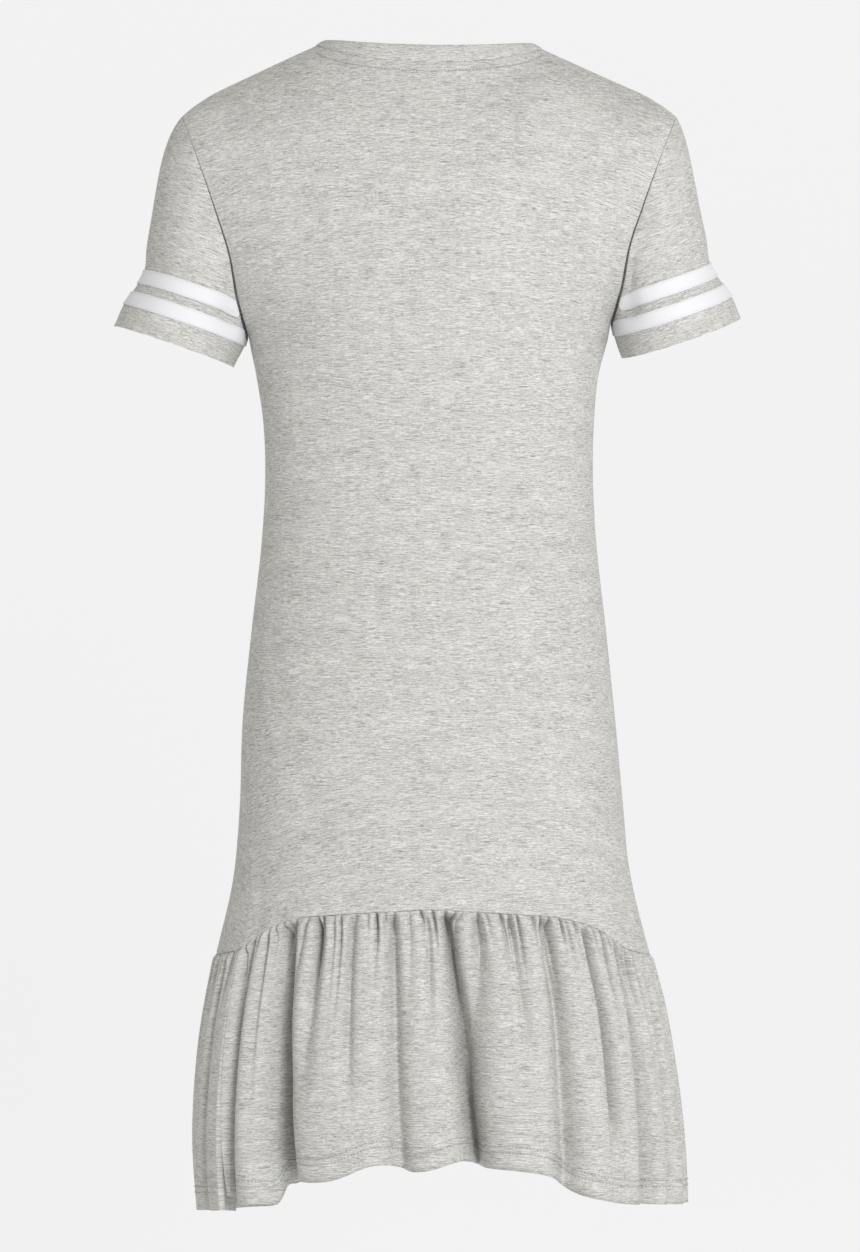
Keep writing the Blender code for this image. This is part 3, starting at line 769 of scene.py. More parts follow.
def drag_height(drags, place, drop):
    """Sum of slanted hills and troughs, each a product of two rounded hills."""
    height = 0.0 * drop
    for at, depth, across, down, size, slant in drags:
        line = depth + slant * 0.2 * (place - at)
        height = height + size * bump(place, at, across) * bump(drop, line, down)
    return height


def make_panel(name, side, drags, tucks):
    """Fine body panel: form, drags and puckers, rolled in at its seams."""
    place = near_ends(PANEL_COLUMNS, (0.0, 0.0008, 0.002, 0.004, 0.007)) * 2 - 1
    shares = near_ends(SIDE_ROWS, (0.0, 0.0012, 0.003, 0.006, 0.010, 0.016))[:-6]
    levels = np.concatenate((np.linspace(0.0, YOKE_ROW, LEVELS // 2),
                             YOKE_ROW + YOKE_ROW * near_ends(LEVELS // 2)[1:]))
    surface = panel_surface(side, place, shares, levels)
    armpit_index = len(shares)
    surface = relax(surface, (armpit_index + 2, 14.0), place)
    surface = relax(surface, (armpit_index + LEVELS // 2, 5.0), place)
    surface = blend_neck(surface, place)
    normals = surface_normals(surface, side)
    edges = {"points": surface.copy(), "armpit": armpit_index, "levels": levels}
    normals[0, :, 2] = 0.0
    on_shoulder = np.abs(place) > NECK_SHARE - 0.004
    normals[-1, on_shoulder, 1] = 0.0
    normals = unit(normals)
    edges["normals"] = normals.copy()
    drop = -surface[..., 2]
    height = drag_height(drags, place[None, :], drop)
    above_seam = run_along(surface)
    pucker = 0.0 * place
    for at, size, _, wide, _ in tucks:
        pucker = pucker + size * bump(place, at, PUCKER_SPREAD * wide)
    height = height - PUCKER_SHARE * pucker * np.exp(-above_seam / PUCKER_REACH)
    free = np.minimum(above_seam / 0.006 + 0.35, (above_seam[-1] - above_seam) / 0.010)
    beside = 1.0 - ease((np.abs(place) - STILL_FROM) / (1.0 - STILL_FROM))
    height = height * np.clip(free, 0.0, 1.0) * beside
    surface = surface + height[..., None] * normals
    across = run_along(np.swapaxes(surface, 0, 1)).T
    middle = np.argmin(np.abs(place))
    across = across - across[:, middle:middle + 1]
    droop = SIDE_DROOP * ease((drop - 0.42) / 0.25) + YOKE_DROOP * ease((0.25 - drop) / 0.15)
    cloth = cloth_map(across + CLOTH_SHIFT * side, -drop + droop * place ** 2)
    up_armhole = np.clip((LEFT_ARMPIT_DROP - drop[:, :1]) / 0.12, 0.0, 1.0)
    roll = ARMPIT_ROLL + (SHOULDER_ROLL - ARMPIT_ROLL) * up_armhole
    roll = np.where(drop[:, :1] > LEFT_ARMPIT_DROP + 0.01, SEAM_ROLL, roll)
    seamed, cloth, outward = roll_in(surface, normals, cloth, bottom=True, ends=True, roll=roll)
    piece = give_wall(grid_mesh(name, seamed, cloth, jersey, outward), JERSEY)
    edges["surface"] = surface
    print(name, surface.shape[:2], "points")
    return piece, edges


back_panel, back_edges = make_panel("back", 1, BACK_DRAGS, back_tucks)
front_panel, front_edges = make_panel("front", -1, FRONT_DRAGS, front_tucks)

# %% [markdown]
# ## Sleeves
# A set-in sleeve starts on the whole edge of the armhole and ends in its round mouth. Each
# lengthwise line is a cubic curve that leaves the shoulder sloping down and reaches the
# mouth nearly straight. Rows are placed by their distance from the hem, because the tapes
# are sewn on at even distances from it.

# %% Sleeve lines
LEFT_SLEEVE = {"outer": (0.2420, -0.2164), "inner": (0.1504, -0.2480), "sag": 0.000,
               "leave": 41.0, "leave_pull": 0.76, "arrive": 36.0, "arrive_pull": 1.10}
RIGHT_SLEEVE = {"outer": (-0.2395, -0.2098), "inner": (-0.1485, -0.2405), "sag": 0.006,
                "leave": 31.5, "leave_pull": 0.62, "arrive": 32.9, "arrive_pull": 1.23}
UNDERARM = {"leave": 19.3, "leave_pull": 1.0, "arrive": 25.0, "arrive_pull": 1.0}
MOUTH_HALF_DEPTH = 0.055
MOUTH_FRONT_RISE = 0.0070
SLEEVE_BULGE = 0.12
SLEEVE_SEAM_GAP = 0.00025
SEAM_STEP = 0.0016
SEAM_STEP_REACH = 0.0045
LINE_SAMPLES = 81
SLEEVE_ROWS = 84
QUIET_SEAM = 0.010


def armhole_loop(hand):
    """Edge of an armhole, down the back and up the front, with its turn round the arm."""
    column = -1 if hand > 0 else 0
    first = back_edges["armpit"]
    points, outward = (np.concatenate((back_edges[key][first:, column][::-1],
                                       front_edges[key][first:, column][1:-1]))
                       for key in ("points", "normals"))
    level = back_edges["levels"]
    turns = np.concatenate((ARMHOLE_ROWS - level[::-1], ARMHOLE_ROWS + level[1:-1]))
    turn = np.pi - np.pi * turns / ARMHOLE_ROWS
    forward = np.roll(points, -1, axis=0) - np.roll(points, 1, axis=0)
    inward = unit(np.cross(outward, unit(forward))) * hand
    return points, inward, turn


def slant(cut, angle_name, pull_name, blend, hand, sideways):
    """Direction and pull of the sleeve's lines at one end, from underarm (0) to top (1)."""
    angle = UNDERARM[angle_name] + (cut[angle_name] - UNDERARM[angle_name]) * blend
    pull = UNDERARM[pull_name] + (cut[pull_name] - UNDERARM[pull_name]) * blend
    angle = np.radians(angle)
    way = unit(np.stack((hand * np.sin(angle), sideways, -np.cos(angle)), -1))
    return way * pull[:, None]


def sleeve_lines(start, turn, hand, cut):
    """Lines down the sleeve, hem first: each a cubic curve from the armhole to the mouth."""
    outer = np.array((cut["outer"][0], 0.0, cut["outer"][1]))
    inner = np.array((cut["inner"][0], 0.0, cut["inner"][1]))
    end = (outer + inner) / 2 - np.cos(turn)[:, None] * (outer - inner) / 2
    end[:, 1] = MOUTH_HALF_DEPTH * np.sin(turn)
    end[:, 2] -= cut["sag"] * np.abs(np.sin(turn))
    end[:, 2] += MOUTH_FRONT_RISE * np.clip(-np.sin(turn), 0.0, None)
    over = (1 - np.cos(turn)) / 2
    reach = np.linalg.norm(end - start, axis=-1, keepdims=True)
    bulge = SLEEVE_BULGE * np.sin(turn)
    leave = reach * slant(cut, "leave", "leave_pull", over ** 3, hand, bulge)
    arrive = reach * slant(cut, "arrive", "arrive_pull", over ** 2, hand, 0 * turn)
    t = np.linspace(0.0, 1.0, LINE_SAMPLES)[:, None, None]
    return cubic(t, start, end, leave, arrive)[::-1]


def read_rows(run, values, distances):
    """Values of each column's line read at a row of distances, by straight interpolation."""
    count = run.shape[1]
    found = np.empty((len(distances), count, values.shape[-1]))
    for column in range(count):
        for axis in range(values.shape[-1]):
            found[:, column, axis] = np.interp(distances[:, column], run[:, column],
                                               values[:, column, axis])
    return found


print("armhole", len(armhole_loop(1)[0]), "points round")

# %% [markdown]
# The tapes stiffen the lower sleeve, so its outline kinks: it draws in a little at the upper
# tape and flares to the hem. Each sleeve also gets a few soft creases, strongest by the
# underarm where the cloth is bunched.

# %% Sleeves
FLARE = (
    # distance from the hem, half width, outward
    (0.016, 0.013, 0.0026),
    (0.048, 0.013, -0.0030),
)
LEFT_CREASES = (
    # turn round the arm in degrees, distance from the hem, half turn, half length, height
    (44.0, 0.034, 14.0, 0.006, -0.0042),
    (56.0, 0.052, 15.0, 0.022, -0.0030),
    (30.0, 0.020, 13.0, 0.016, 0.0020),
    (95.0, 0.100, 20.0, 0.045, -0.0012),
    (140.0, 0.075, 18.0, 0.050, -0.0012),
    (-50.0, 0.040, 18.0, 0.022, -0.0032),
    (-110.0, 0.085, 20.0, 0.045, -0.0014),
)
RIGHT_CREASES = (
    # turn round the arm in degrees, distance from the hem, half turn, half length, height
    (44.0, 0.034, 14.0, 0.006, -0.0040),
    (54.0, 0.052, 17.0, 0.026, -0.0036),
    (76.0, 0.080, 12.0, 0.040, -0.0016),
    (125.0, 0.090, 20.0, 0.045, -0.0012),
    (-52.0, 0.042, 18.0, 0.022, -0.0032),
    (-105.0, 0.085, 20.0, 0.045, -0.0014),
)


def make_sleeve(name, hand, cut, creases):
    """Fine sleeve: lines from the armhole to the mouth, flare and creases added."""
    points, inward, turn = armhole_loop(hand)
    start = points - SLEEVE_SEAM_GAP * inward
    lines = sleeve_lines(start, turn, hand, cut)
    run = run_along(lines)
    share = near_ends(SLEEVE_ROWS, (0.0, 0.0015, 0.004, 0.007, 0.011, 0.017))[:, None]
    distance = share * run[-1]
    surface = read_rows(run, lines, distance)
    normals = surface_normals(surface, -hand, wraps=True)
    lean = np.minimum((normals[-1] * inward).sum(-1, keepdims=True), 0.0)
    normals[-1] = unit(normals[-1] - lean * inward)
    over = ((1 - np.cos(turn)) / 2) ** 2
    height = 0.0
    for at, half, size in FLARE:
        height = height + size * over * bump(distance, at, half)
    degrees = np.degrees(turn)
    for around, at, half_turn, half_length, size in creases:
        round_it = bump(degrees, around, half_turn)
        height = height + size * round_it * bump(distance, at, half_length)
    height = height * ease((run[-1] - distance) / QUIET_SEAM)
    low = (1 + np.cos(turn)) / 2
    height = height - SEAM_STEP * low * np.exp(-(run[-1] - distance) / SEAM_STEP_REACH)
    surface = surface + height[..., None] * normals
    cloth = cloth_map(run_along(surface[0][:, None])[:, 0], distance)
    roll = SHOULDER_ROLL + (ARMPIT_ROLL - SHOULDER_ROLL) * low
    seamed, cloth, outward = roll_in(surface, normals, cloth, top=True, roll=roll)
    piece = grid_mesh(name, seamed, cloth, jersey, outward, wraps=True)
    give_wall(piece, JERSEY)
    print(name, surface.shape[:2], "points")
    normals = surface_normals(surface, -hand, wraps=True)
    return piece, {"surface": surface, "normals": normals, "turn": turn}


left_sleeve, left_form = make_sleeve("left_sleeve", 1, LEFT_SLEEVE, LEFT_CREASES)
right_sleeve, right_form = make_sleeve("right_sleeve", -1, RIGHT_SLEEVE, RIGHT_CREASES)

# %% [markdown]
# ## Tapes
# Two white tapes lie flat round each sleeve. A tape is a thin slab: its cross-section has a
# face, two rounded edges and a back, and it is carried round the sleeve at set distances
# from the hem. Under the arm there isn't room for the upper one, so the armhole seam cuts
# it off, as it does on the real sleeve.

# %% Tapes
LOWER_TAPE = (0.018, 0.030)
UPPER_TAPE = (0.037, 0.049)
TAPE_ROW = 20
TAPE_LIFT = 0.0003
TAPE_THICKNESS = 0.0006
TAPE_SEAM_ROOM = 0.0004
UNDERARM_CLEARANCE = 0.0030
SHORTEST_TAPE_SIDE = 0.003
TAPE_SECTION = (
    # share of width, share of thickness
    (0.00, 0.00),
    (-0.01, 0.45),
    (0.02, 0.90),
    (0.07, 1.00),
    (0.30, 1.04),
    (0.50, 1.06),
    (0.70, 1.04),
    (0.93, 1.00),
    (0.98, 0.90),
    (1.01, 0.45),
    (1.00, 0.00),
    (0.50, 0.00),
)


def make_tape(name, form, edges):
    """Slab of tape on a sleeve: the section's points at distances from the hem, moved out."""
    surface, normals = form["surface"], form["normals"]
    run = run_along(surface)
    length = run[-1]
    under = ((1 + np.cos(form["turn"])) / 2) ** 4
    low = np.full(len(length), edges[0])
    high = np.minimum(edges[1], length - TAPE_SEAM_ROOM - UNDERARM_CLEARANCE * under)
    kept = high - low > SHORTEST_TAPE_SIDE
    order = np.arange(len(length))
    wraps = bool(kept.all())
    if not wraps:
        order = np.roll(order, -int(np.argmin(kept)))
        order = order[kept[order]]
    section = np.array(TAPE_SECTION)
    distance = low + section[:, :1] * (high - low)
    foot = read_rows(run, surface, distance)[:, order]
    out = unit(read_rows(run, normals, distance))[:, order]
    lift = TAPE_LIFT + TAPE_THICKNESS * section[:, 1:2]
    slab = foot + lift[..., None] * out
    around = run_along(surface[TAPE_ROW][:, None])[:, 0]
    cloth = cloth_map(around[order], distance[:, order])
    piece = grid_mesh(name, slab, cloth, tape_white, out, wraps=wraps, closed=True)
    print(name, "width", round(float((high - low).max()), 4), "all round" if wraps else "cut")
    return piece


tapes = {
    "sleeve_tape_left_lower": make_tape("left_lower_tape", left_form, LOWER_TAPE),
    "sleeve_tape_left_upper": make_tape("left_upper_tape", left_form, UPPER_TAPE),
    "sleeve_tape_right_lower": make_tape("right_lower_tape", right_form, LOWER_TAPE),
    "sleeve_tape_right_upper": make_tape("right_upper_tape", right_form, UPPER_TAPE),
}

# %% [markdown]
# ## Neckband
# The band is a folded strip of the same jersey. Its section is a slim loop with a rounded
# brim. It stands on the neckline and leans in, more at the sides than in the middle.

# %% Neckband
BAND_SIDE_LEAN = 0.0080
BAND_MIDDLE_LEAN = 0.0052
BAND_SIDE_RISE = 0.0036
BAND_MIDDLE_RISE = 0.0138
BAND_RISE_CURVE = 1.3
BAND_LIFT = 0.00048
BAND_THICKNESS = 0.0018
BAND_CLOTH_HEIGHT = 0.015
BAND_SECTION = (
    # share of height, share of thickness outwards
    (-0.10, -0.90),
    (0.00, -0.30),
    (0.06, 0.10),
    (0.20, 0.32),
    (0.45, 0.40),
    (0.70, 0.36),
    (0.88, 0.22),
    (0.97, -0.10),
    (1.00, -0.45),
    (0.96, -0.85),
    (0.80, -1.05),
    (0.45, -1.10),
    (0.10, -1.05),
)


def make_neckband():
    """Band round the neckline: a closed section carried along the two neck edges."""
    back, front = (edges["points"][-1] for edges in (back_edges, front_edges))
    back, front = (line[np.abs(line[:, 0]) < NECK_HALF_WIDTH + 1e-6] for line in (back, front))
    seam = np.concatenate((back, front[::-1][1:-1]))
    depth = np.where(seam[:, 1:2] > 0, BACK_NECK_DEPTH, FRONT_NECK_DEPTH)
    middle = np.clip(np.abs(seam[:, 1:2]) / depth, 0.0, 1.0)
    rise = BAND_SIDE_RISE + (BAND_MIDDLE_RISE - BAND_SIDE_RISE) * middle ** BAND_RISE_CURVE
    lean = BAND_SIDE_LEAN + (BAND_MIDDLE_LEAN - BAND_SIDE_LEAN) * middle
    out = unit(seam * np.array((1.0, 1.0, 0.0)))
    up = np.array((0.0, 0.0, 1.0))
    foot = seam + BAND_LIFT * up
    way = rise * up - lean * out
    along = unit(np.roll(seam, -1, axis=0) - np.roll(seam, 1, axis=0))
    outward = unit(np.cross(way, along))
    outward = outward * np.sign((outward * out).sum(-1, keepdims=True))
    section = np.array(BAND_SECTION)
    ring = foot + section[:, :1, None] * way + section[:, 1:2, None] * BAND_THICKNESS * outward
    centre = ring.mean(0, keepdims=True)
    cloth = cloth_map(run_along(seam[:, None])[:, 0], BAND_CLOTH_HEIGHT * section[:, :1])
    band = grid_mesh("neck_band", ring, cloth, jersey, ring - centre, wraps=True, closed=True)
    return band, seam


neckband, neck_seam = make_neckband()
print("neckline", round(float(run_along(neck_seam[:, None])[-1, 0]), 3), "m")

# %% [markdown]
# ## Ruffles
# The ruffle is the showpiece. Cloth nearly twice as long as the seam is gathered on to it,
# so small sharp tucks start at the seam, run out at different lengths, and gather into a
# few large folds that hang to the hem. Two fields shape it: how deep each tuck and fold
# pulls the cloth in, and how far a fold's edge slides sideways over the hollow beside it.

# %% Ruffle tables
RUFFLE_DEPTH = 0.196
RUFFLE_SEAM_GAP = 0.0001
BACK_HEM = (
    # place, drop
    (-1.00, 0.8900),
    (-0.64, 0.8898),
    (-0.35, 0.8848),
    (-0.19, 0.8820),
    (-0.10, 0.8778),
    (-0.02, 0.8700),
    (0.05, 0.8595),
    (0.12, 0.8535),
    (0.21, 0.8530),
    (0.28, 0.8468),
    (0.37, 0.8540),
    (0.48, 0.8492),
    (0.60, 0.8620),
    (0.75, 0.8650),
    (0.790, 0.8690),
    (0.803, 0.8700),
    (0.815, 0.8808),
    (0.84, 0.8822),
    (0.90, 0.8822),
    (1.00, 0.8786),
)
FRONT_HEM = (
    # place, drop
    (-1.00, 0.8905),
    (-0.88, 0.8850),
    (-0.70, 0.8770),
    (-0.35, 0.8680),
    (-0.10, 0.8710),
    (0.00, 0.8780),
    (0.09, 0.8865),
    (0.17, 0.9000),
    (0.30, 0.9040),
    (0.50, 0.9003),
    (0.67, 0.8960),
    (1.00, 0.8890),
)
BACK_FOLDS = (
    # place at seam, at hem, half width at seam, at hem, depth at seam, at hem, over, until
    (0.935, 0.955, 0.026, 0.040, 0.0120, 0.0260, -0.75, 1.0),
    (0.868, 0.860, 0.014, 0.026, 0.0070, 0.0030, -0.40, 0.9),
    (0.815, 0.795, 0.018, 0.046, 0.0100, 0.0260, -0.40, 1.0),
    (0.768, 0.726, 0.034, 0.058, 0.0290, 0.0620, -0.95, 1.0),
    (0.670, 0.655, 0.013, 0.026, 0.0100, 0.0010, 0.40, 0.8),
    (0.560, 0.545, 0.015, 0.026, 0.0100, 0.0030, -0.40, 0.8),
    (0.440, 0.420, 0.020, 0.042, 0.0130, 0.0170, -0.40, 1.0),
    (0.345, 0.350, 0.012, 0.020, 0.0085, 0.0000, 0.40, 0.5),
    (0.276, 0.210, 0.029, 0.058, 0.0240, 0.0520, -0.90, 1.0),
    (0.205, 0.185, 0.014, 0.028, 0.0100, 0.0040, 0.40, 0.8),
    (0.110, 0.100, 0.012, 0.022, 0.0085, 0.0010, 0.40, 0.6),
    (-0.010, 0.000, 0.022, 0.050, 0.0135, 0.0210, -0.40, 1.0),
    (-0.145, -0.140, 0.016, 0.030, 0.0130, 0.0150, 0.70, 0.9),
    (-0.290, -0.270, 0.020, 0.044, 0.0140, 0.0200, 0.40, 1.0),
    (-0.440, -0.430, 0.018, 0.040, 0.0100, 0.0160, -0.50, 1.0),
    (-0.600, -0.585, 0.018, 0.040, 0.0080, 0.0150, -0.50, 1.0),
    (-0.760, -0.770, 0.020, 0.044, 0.0080, 0.0160, 0.50, 1.0),
    (-0.930, -0.920, 0.016, 0.032, 0.0060, 0.0090, 0.30, 1.0),
)
FRONT_FOLDS = (
    # place at seam, at hem, half width at seam, at hem, depth at seam, at hem, over, until
    (0.900, 0.885, 0.014, 0.030, 0.0055, 0.0060, 0.30, 1.0),
    (0.720, 0.700, 0.016, 0.034, 0.0065, 0.0070, -0.50, 1.0),
    (0.620, 0.630, 0.012, 0.022, 0.0065, 0.0010, 0.40, 0.7),
    (0.530, 0.540, 0.022, 0.050, 0.0110, 0.0210, 0.45, 1.0),
    (0.350, 0.375, 0.018, 0.040, 0.0085, 0.0140, -0.50, 1.0),
    (0.265, 0.270, 0.012, 0.022, 0.0065, 0.0010, -0.40, 0.7),
    (0.190, 0.180, 0.020, 0.048, 0.0100, 0.0200, 0.45, 1.0),
    (0.030, 0.010, 0.016, 0.038, 0.0080, 0.0100, 0.35, 1.0),
    (-0.060, -0.070, 0.012, 0.022, 0.0065, 0.0010, 0.40, 0.6),
    (-0.140, -0.160, 0.022, 0.052, 0.0110, 0.0220, -0.50, 1.0),
    (-0.320, -0.330, 0.017, 0.040, 0.0085, 0.0130, 0.40, 1.0),
    (-0.410, -0.400, 0.012, 0.022, 0.0065, 0.0010, -0.40, 0.6),
    (-0.500, -0.480, 0.020, 0.048, 0.0100, 0.0190, 0.50, 1.0),
    (-0.680, -0.690, 0.018, 0.042, 0.0085, 0.0130, -0.45, 1.0),
    (-0.870, -0.860, 0.017, 0.040, 0.0075, 0.0120, 0.40, 1.0),
)

print("folds", len(BACK_FOLDS) + len(FRONT_FOLDS))

# %% [markdown]
# Each point of a ruffle is found from its place along the seam and its fall below it. A
# cloth simulation could hang the folds too, but then they would not fall where the picture
# shows them, and each run might differ.

# %% Ruffles
RUFFLE_COLUMNS = 1000
RUFFLE_ROWS = 34
FOLD_FADE = 0.25
FOLD_OVERHANG_DEPTH = 0.008
PUFF = 0.0022
SEAM_SHARE = 0.75
START_HEIGHT = 0.40
TUCK_SPREAD = 0.040
QUIET_FROM = 0.985
COURSE_TILT = 0.5


def folds_and_edges(folds, place, fall):
    """Depth of the large folds, and the sideways slide of their overhanging edges.

    Each fold is a rounded trough whose place, width and depth change in a straight line
    down the ruffle. Its slide is a rounded hill centred on one flank of the trough, that
    moves the flank over the hollow.
    """
    share = fall / RUFFLE_DEPTH
    forms = ease(fall / 0.010)
    depth = 0.0
    slide = 0.0
    for *ends, over, until in folds:
        centre, wide, deep = (ends[i] + (ends[i + 1] - ends[i]) * share for i in (0, 2, 4))
        reach = 1.0 - ease((share - until) / FOLD_FADE + 1.0) if until < 1.0 else 1.0
        depth = depth + deep * forms * reach * bump(place, centre, wide)
        flank = centre + np.sign(over) * wide
        amount = over * wide * np.clip(deep / FOLD_OVERHANG_DEPTH, 0.0, 1.0)
        slide = slide - amount * forms * reach * bump(place, flank, 0.9 * wide)
    return depth, slide


def tuck_depth(tucks, place, fall):
    """Depth of the small tucks: sharp troughs with round ridges between, that run out.

    Each trough's profile is e to the power of minus the distance from its line, softened
    at the bottom, and it fades and widens down the ruffle.
    """
    depth = 0.0
    for at, size, length, wide, drift in tucks:
        spread = wide * (1.0 + fall / TUCK_SPREAD)
        away = np.sqrt(((place - at - drift * fall) / spread) ** 2 + 0.005) - 0.07
        depth = depth + size * np.exp(-((fall / length) ** 2) - 1.3 * away)
    return depth * (SEAM_SHARE + (1.0 - SEAM_SHARE) * ease(fall / 0.007))


def make_ruffle(name, side, hem, folds, tucks):
    """Fine ruffle: rings of the body's form, pulled in by tucks and folds."""
    place = near_ends(RUFFLE_COLUMNS, (0.0, 0.0012, 0.003, 0.006)) * 2 - 1
    close = np.array((0.0, 0.003, 0.007, 0.012, 0.019, 0.028, 0.038, 0.050))
    share = np.concatenate((close, np.linspace(0.065, 1.0, RUFFLE_ROWS)))[:, None]
    top = seam_drop(panel_angle(side, place, SWING_FROM + SWING_LENGTH)) + RUFFLE_SEAM_GAP
    low = smooth(hem, 1, place)
    fall = share * RUFFLE_DEPTH + 0.0 * place
    drop = top + (low - top) * share
    depth, slide = folds_and_edges(folds, place, fall)
    quiet = 1.0 - ease((np.abs(place) - QUIET_FROM) / (1.0 - QUIET_FROM))
    small = tuck_depth(tucks, place, fall)
    puff = PUFF * ease(fall / 0.005) * np.exp(-fall / 0.09)
    starts = START_HEIGHT + (1.0 - START_HEIGHT) * ease(fall / 0.0030)
    height = (puff - small * quiet - depth) * starts
    moved = place + slide * quiet
    angle = panel_angle(side, moved, drop)
    x, y = body_ring(drop, angle)
    ahead = body_ring(drop, angle + 0.5)
    behind = body_ring(drop, angle - 0.5)
    out = unit(np.stack((behind[1] - ahead[1], ahead[0] - behind[0], 0 * x), -1))
    surface = np.stack((x, y, -drop), -1) + height[..., None] * out
    normals = surface_normals(surface, -side)
    across = run_along(np.swapaxes(surface, 0, 1)).T
    width = across[len(share) // 2]
    course = COURSE_TILT * (top - SEAM_TOP_DROP) * (1.0 - share) - drop
    cloth = cloth_map(width, course)
    seamed, cloth, outward = roll_in(surface, normals, cloth, bottom=True, ends=True)
    piece = give_wall(grid_mesh(name, seamed, cloth, jersey, outward), JERSEY)
    print(name, surface.shape[:2], "points, cut", round(float(width[-1]), 3), "m long")
    return piece, {"surface": surface, "normals": normals}


ruffle_back, back_form = make_ruffle("back_ruffle", 1, BACK_HEM, BACK_FOLDS, back_tucks)
ruffle_front, front_form = make_ruffle("front_ruffle", -1, FRONT_HEM, FRONT_FOLDS, front_tucks)

# %% [markdown]
# ## Stitches
# Twin rows hold the hem, a row runs below the neckband, and a row runs along both edges of
# each tape. A stitch is a short thread that comes out of the cloth, lies on it and goes
# back in, so it is a small tube bent into a low arch. All of a row's stitches are one mesh.

# %% Stitch rows
STITCH_SIDES = 5
STITCH_RINGS = 5
HEM_ROWS = (("lower", 0.0135), ("upper", 0.0180))
HEM_THREAD_RADIUS = 0.00030


def along_line(line, values, spacing):
    """Points and values at even spacing along a line."""
    run = run_along(line[:, None])[:, 0]
    at = np.arange(spacing / 2, run[-1], spacing)
    found = [np.stack([np.interp(at, run, data[:, i]) for i in range(3)], -1)
             for data in (line, values)]
    return found[0], unit(found[1])


def stitch_row(name, line, normals, material, spacing=0.0027, length=0.0019, radius=0.00022):
    """A row of arched stitches along a line that lies on the cloth.

    Each is a tube of a few rings: the middle stands out by the radius, and the ends are
    sunk under the surface by as much.
    """
    centre, out = along_line(line, normals, spacing)
    way = unit(np.gradient(centre, axis=0))
    side = unit(np.cross(way, out))
    step = np.linspace(-1.0, 1.0, STITCH_RINGS)
    arch = radius * (1.3 - 2.0 * step ** 4)
    girth = radius * np.sqrt(np.clip(1.04 - step ** 4, 0.0, 1.0))
    round_it = np.arange(STITCH_SIDES) * 2 * np.pi / STITCH_SIDES
    count = len(centre)
    middle = (centre[:, None] + step[:, None] * way[:, None] * length / 2
              + arch[:, None] * out[:, None])
    ring = (np.cos(round_it)[:, None] * side[:, None, None]
            + np.sin(round_it)[:, None] * out[:, None, None])
    points = middle[:, :, None] + girth[:, None, None] * ring
    size = STITCH_RINGS * STITCH_SIDES
    here = np.arange(size - STITCH_SIDES).reshape(-1, STITCH_SIDES)
    beside = np.roll(here, -1, axis=1)
    quads = np.stack((here, beside, beside + STITCH_SIDES, here + STITCH_SIDES), -1)
    starts = np.arange(count)[:, None, None] * size
    faces = (quads.reshape(-1, 4) + starts).reshape(-1, 4).tolist()
    for cap in (here[0, ::-1], here[0] + size - STITCH_SIDES):
        faces += (cap + starts[:, 0]).tolist()
    print(name, count, "stitches")
    return place_mesh(name, points.reshape(-1, 3), faces, material)


def line_on(form, distance, from_end):
    """A line across a grid at a distance from its last row (or its first)."""
    surface, normals = form["surface"], form["normals"]
    if from_end:
        surface, normals = surface[::-1], normals[::-1]
    run = run_along(surface)
    at = np.zeros((1, surface.shape[1])) + distance
    return read_rows(run, surface, at)[0], unit(read_rows(run, normals, at)[0])


threads = []
for piece_name, form in (("back_hem", back_form), ("front_hem", front_form)):
    for row, distance in HEM_ROWS:
        line, out = line_on(form, distance, True)
        threads.append(stitch_row(f"{piece_name}_{row}_stitches", line, out, grey_thread,
                                  radius=HEM_THREAD_RADIUS))
print("thread rows", len(threads))

# %% [markdown]
# The neckline has one row of stitches a little below the band's seam. On each tape a row
# runs just inside both edges, in white thread.

# %% Neck and tape stitches
NECK_STITCH_MIDDLE = 0.0080
NECK_STITCH_ENDS = 0.0160
NECK_THREAD_RADIUS = 0.00042
TAPE_STITCH_INSET = 0.0012
for piece_name, edges in (("back_neck", back_edges), ("front_neck", front_edges)):
    beside = np.abs(edges["points"][-1][:, 0]) / NECK_HALF_WIDTH
    distance = NECK_STITCH_MIDDLE + (NECK_STITCH_ENDS - NECK_STITCH_MIDDLE) * beside ** 3
    line, out = line_on(edges, distance, True)
    on_neck = beside < 1.0
    threads.append(stitch_row(piece_name + "_stitches", line[on_neck], out[on_neck],
                              grey_thread, radius=NECK_THREAD_RADIUS))

for piece_name, form in (("left", left_form), ("right", right_form)):
    for tape_name, edges in (("lower", LOWER_TAPE), ("upper", UPPER_TAPE)):
        for row, distance in (("hem", edges[0] + TAPE_STITCH_INSET),
                              ("top", edges[1] - TAPE_STITCH_INSET)):
            run = run_along(form["surface"])
            fits = distance < run[-1] - TAPE_SEAM_ROOM - 0.001
            line, out = line_on(form, distance, False)
            line = line + (TAPE_LIFT + TAPE_THICKNESS) * out
            order = np.arange(len(line))
            if not fits.all():
                order = np.roll(order, -int(np.argmin(fits)))
                order = order[fits[order]]
            title = f"{piece_name}_{tape_name}_tape_{row}_stitches"
            threads.append(stitch_row(title, line[order], out[order], white_thread))
print("thread rows in all", len(threads))

# %% [markdown]
# ## Floor and light
# The dress is shown in front of a pale sweep with no line between floor and wall. A wide
# soft light stands to the right of the camera. Weaker ones on both sides of the dress and
# beyond it round the form off, and a dim, warm sky lights the rest. The sweep glows a
# little, as paper does under its lamps.

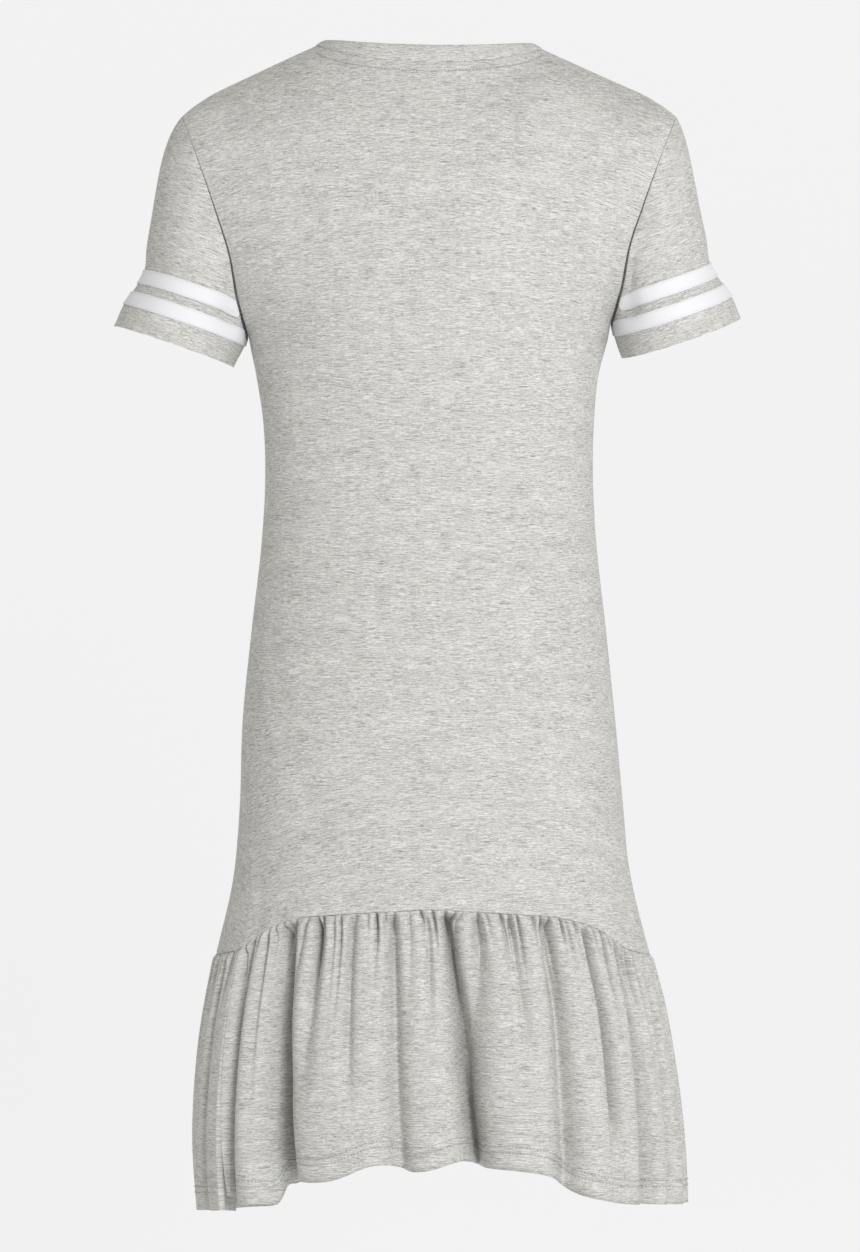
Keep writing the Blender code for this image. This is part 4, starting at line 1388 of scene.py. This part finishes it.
# %% Stage
FLOOR_LEVEL = -1.10
SWEEP_START = -1.0
SWEEP_RADIUS = 1.6
SWEEP_HALF_WIDTH = 7.0
SWEEP_NEAR = 7.0
SWEEP_TOP = 5.0
SWEEP_GREY = (0.10, 0.10, 0.10, 1.0)
SWEEP_GLOW = 0.80
LIGHT_COLOUR = (1.0, 1.0, 1.03)
SKY_COLOUR = (1.0, 0.965, 0.89, 1.0)
SKY_STRENGTH = 0.34
LIGHTS = (
    # name, place, aim, size, power
    ("front_light", (-1.55, 4.25, 1.1), (0.0, 0.0, -0.45), 1.6, 143.0),
    ("side_light", (-3.6, 0.9, 0.1), (0.0, 0.0, -0.45), 2.0, 12.0),
    ("left_light", (2.6, 1.2, 1.6), (0.1, 0.0, -0.30), 1.6, 9.0),
    ("far_light", (1.5, -3.4, 1.0), (0.0, 0.0, -0.45), 2.4, 80.0),
)


def make_sweep():
    """Floor that curves up into a wall: a straight run, a quarter circle, a straight run."""
    turn = np.linspace(0.0, np.pi / 2, 40)
    bend = np.stack((SWEEP_START - SWEEP_RADIUS * np.sin(turn),
                     FLOOR_LEVEL + SWEEP_RADIUS * (1 - np.cos(turn))), -1)
    profile = np.concatenate(([(SWEEP_NEAR, FLOOR_LEVEL)], bend, [(bend[-1, 0], SWEEP_TOP)]))
    across = np.array((-SWEEP_HALF_WIDTH, SWEEP_HALF_WIDTH))
    grid = np.stack([np.stack((np.full(len(profile), x), profile[:, 0], profile[:, 1]), -1)
                     for x in across], 1)
    cloth = grid[..., :2].copy()
    material, shader = cloth_material("pale paper", 0.9, 0.0)
    set_inputs(shader, Base_Color=SWEEP_GREY, Emission_Color=(1.0, 1.0, 1.0, 1.0),
               Emission_Strength=SWEEP_GLOW)
    outward = np.zeros_like(grid) + (0.0, 0.7, 0.7)
    return grid_mesh("sweep", grid, cloth, material, outward)


def soft_light(name, place, aim, size, power):
    """A square area light that faces a point."""
    data = bpy.data.lights.new(name, "AREA")
    data.shape = "SQUARE"
    data.size = size
    data.energy = power
    data.color = LIGHT_COLOUR
    light = bpy.data.objects.new(name, data)
    x, y, z = np.array(aim) - np.array(place)
    light.location = place
    tilt = math.atan2(math.hypot(x, y), -z)
    light.rotation_euler = (tilt, 0.0, math.atan2(y, x) - math.pi / 2)
    bpy.context.scene.collection.objects.link(light)


sweep = make_sweep()
for light_row in LIGHTS:
    soft_light(*light_row)
world = bpy.data.worlds.new("sky")
world.use_nodes = True
set_inputs(world.node_tree.nodes["Background"], Color=SKY_COLOUR, Strength=SKY_STRENGTH)
bpy.context.scene.world = world
bpy.context.scene.view_settings.view_transform = "Standard"
bpy.context.scene.view_settings.look = "None"
print("lights", len(LIGHTS))

# %% [markdown]
# ## Joining the pieces to the frame
# Each fine piece stands for one imported solid and rides with the only body there is.

ROOT = "root"
hung = {
    "back_panel": (back_panel, (0.47, 0.70), 0.262, "hung"),
    "front_panel": (front_panel, (0.47, 0.70), 0.262, "hung"),
    "sleeve_left": (left_sleeve, (0.36, 0.19), 0.045, "hung"),
    "sleeve_right": (right_sleeve, (0.36, 0.19), 0.045, "hung"),
    "neckband": (neckband, (0.50, 0.0145), None, "stretched"),
    "ruffle_back": (ruffle_back, (0.72, 0.20), None, "gathered"),
    "ruffle_front": (ruffle_front, (0.72, 0.20), None, "gathered"),
}
for node, (piece, flat, area, held) in hung.items():
    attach(piece, ROOT)
    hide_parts(node)
for node, piece in tapes.items():
    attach(piece, ROOT)
    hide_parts(node)
for piece in threads:
    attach(piece, ROOT)
print("declared", len(hung) + len(tapes) + len(threads), "pieces")
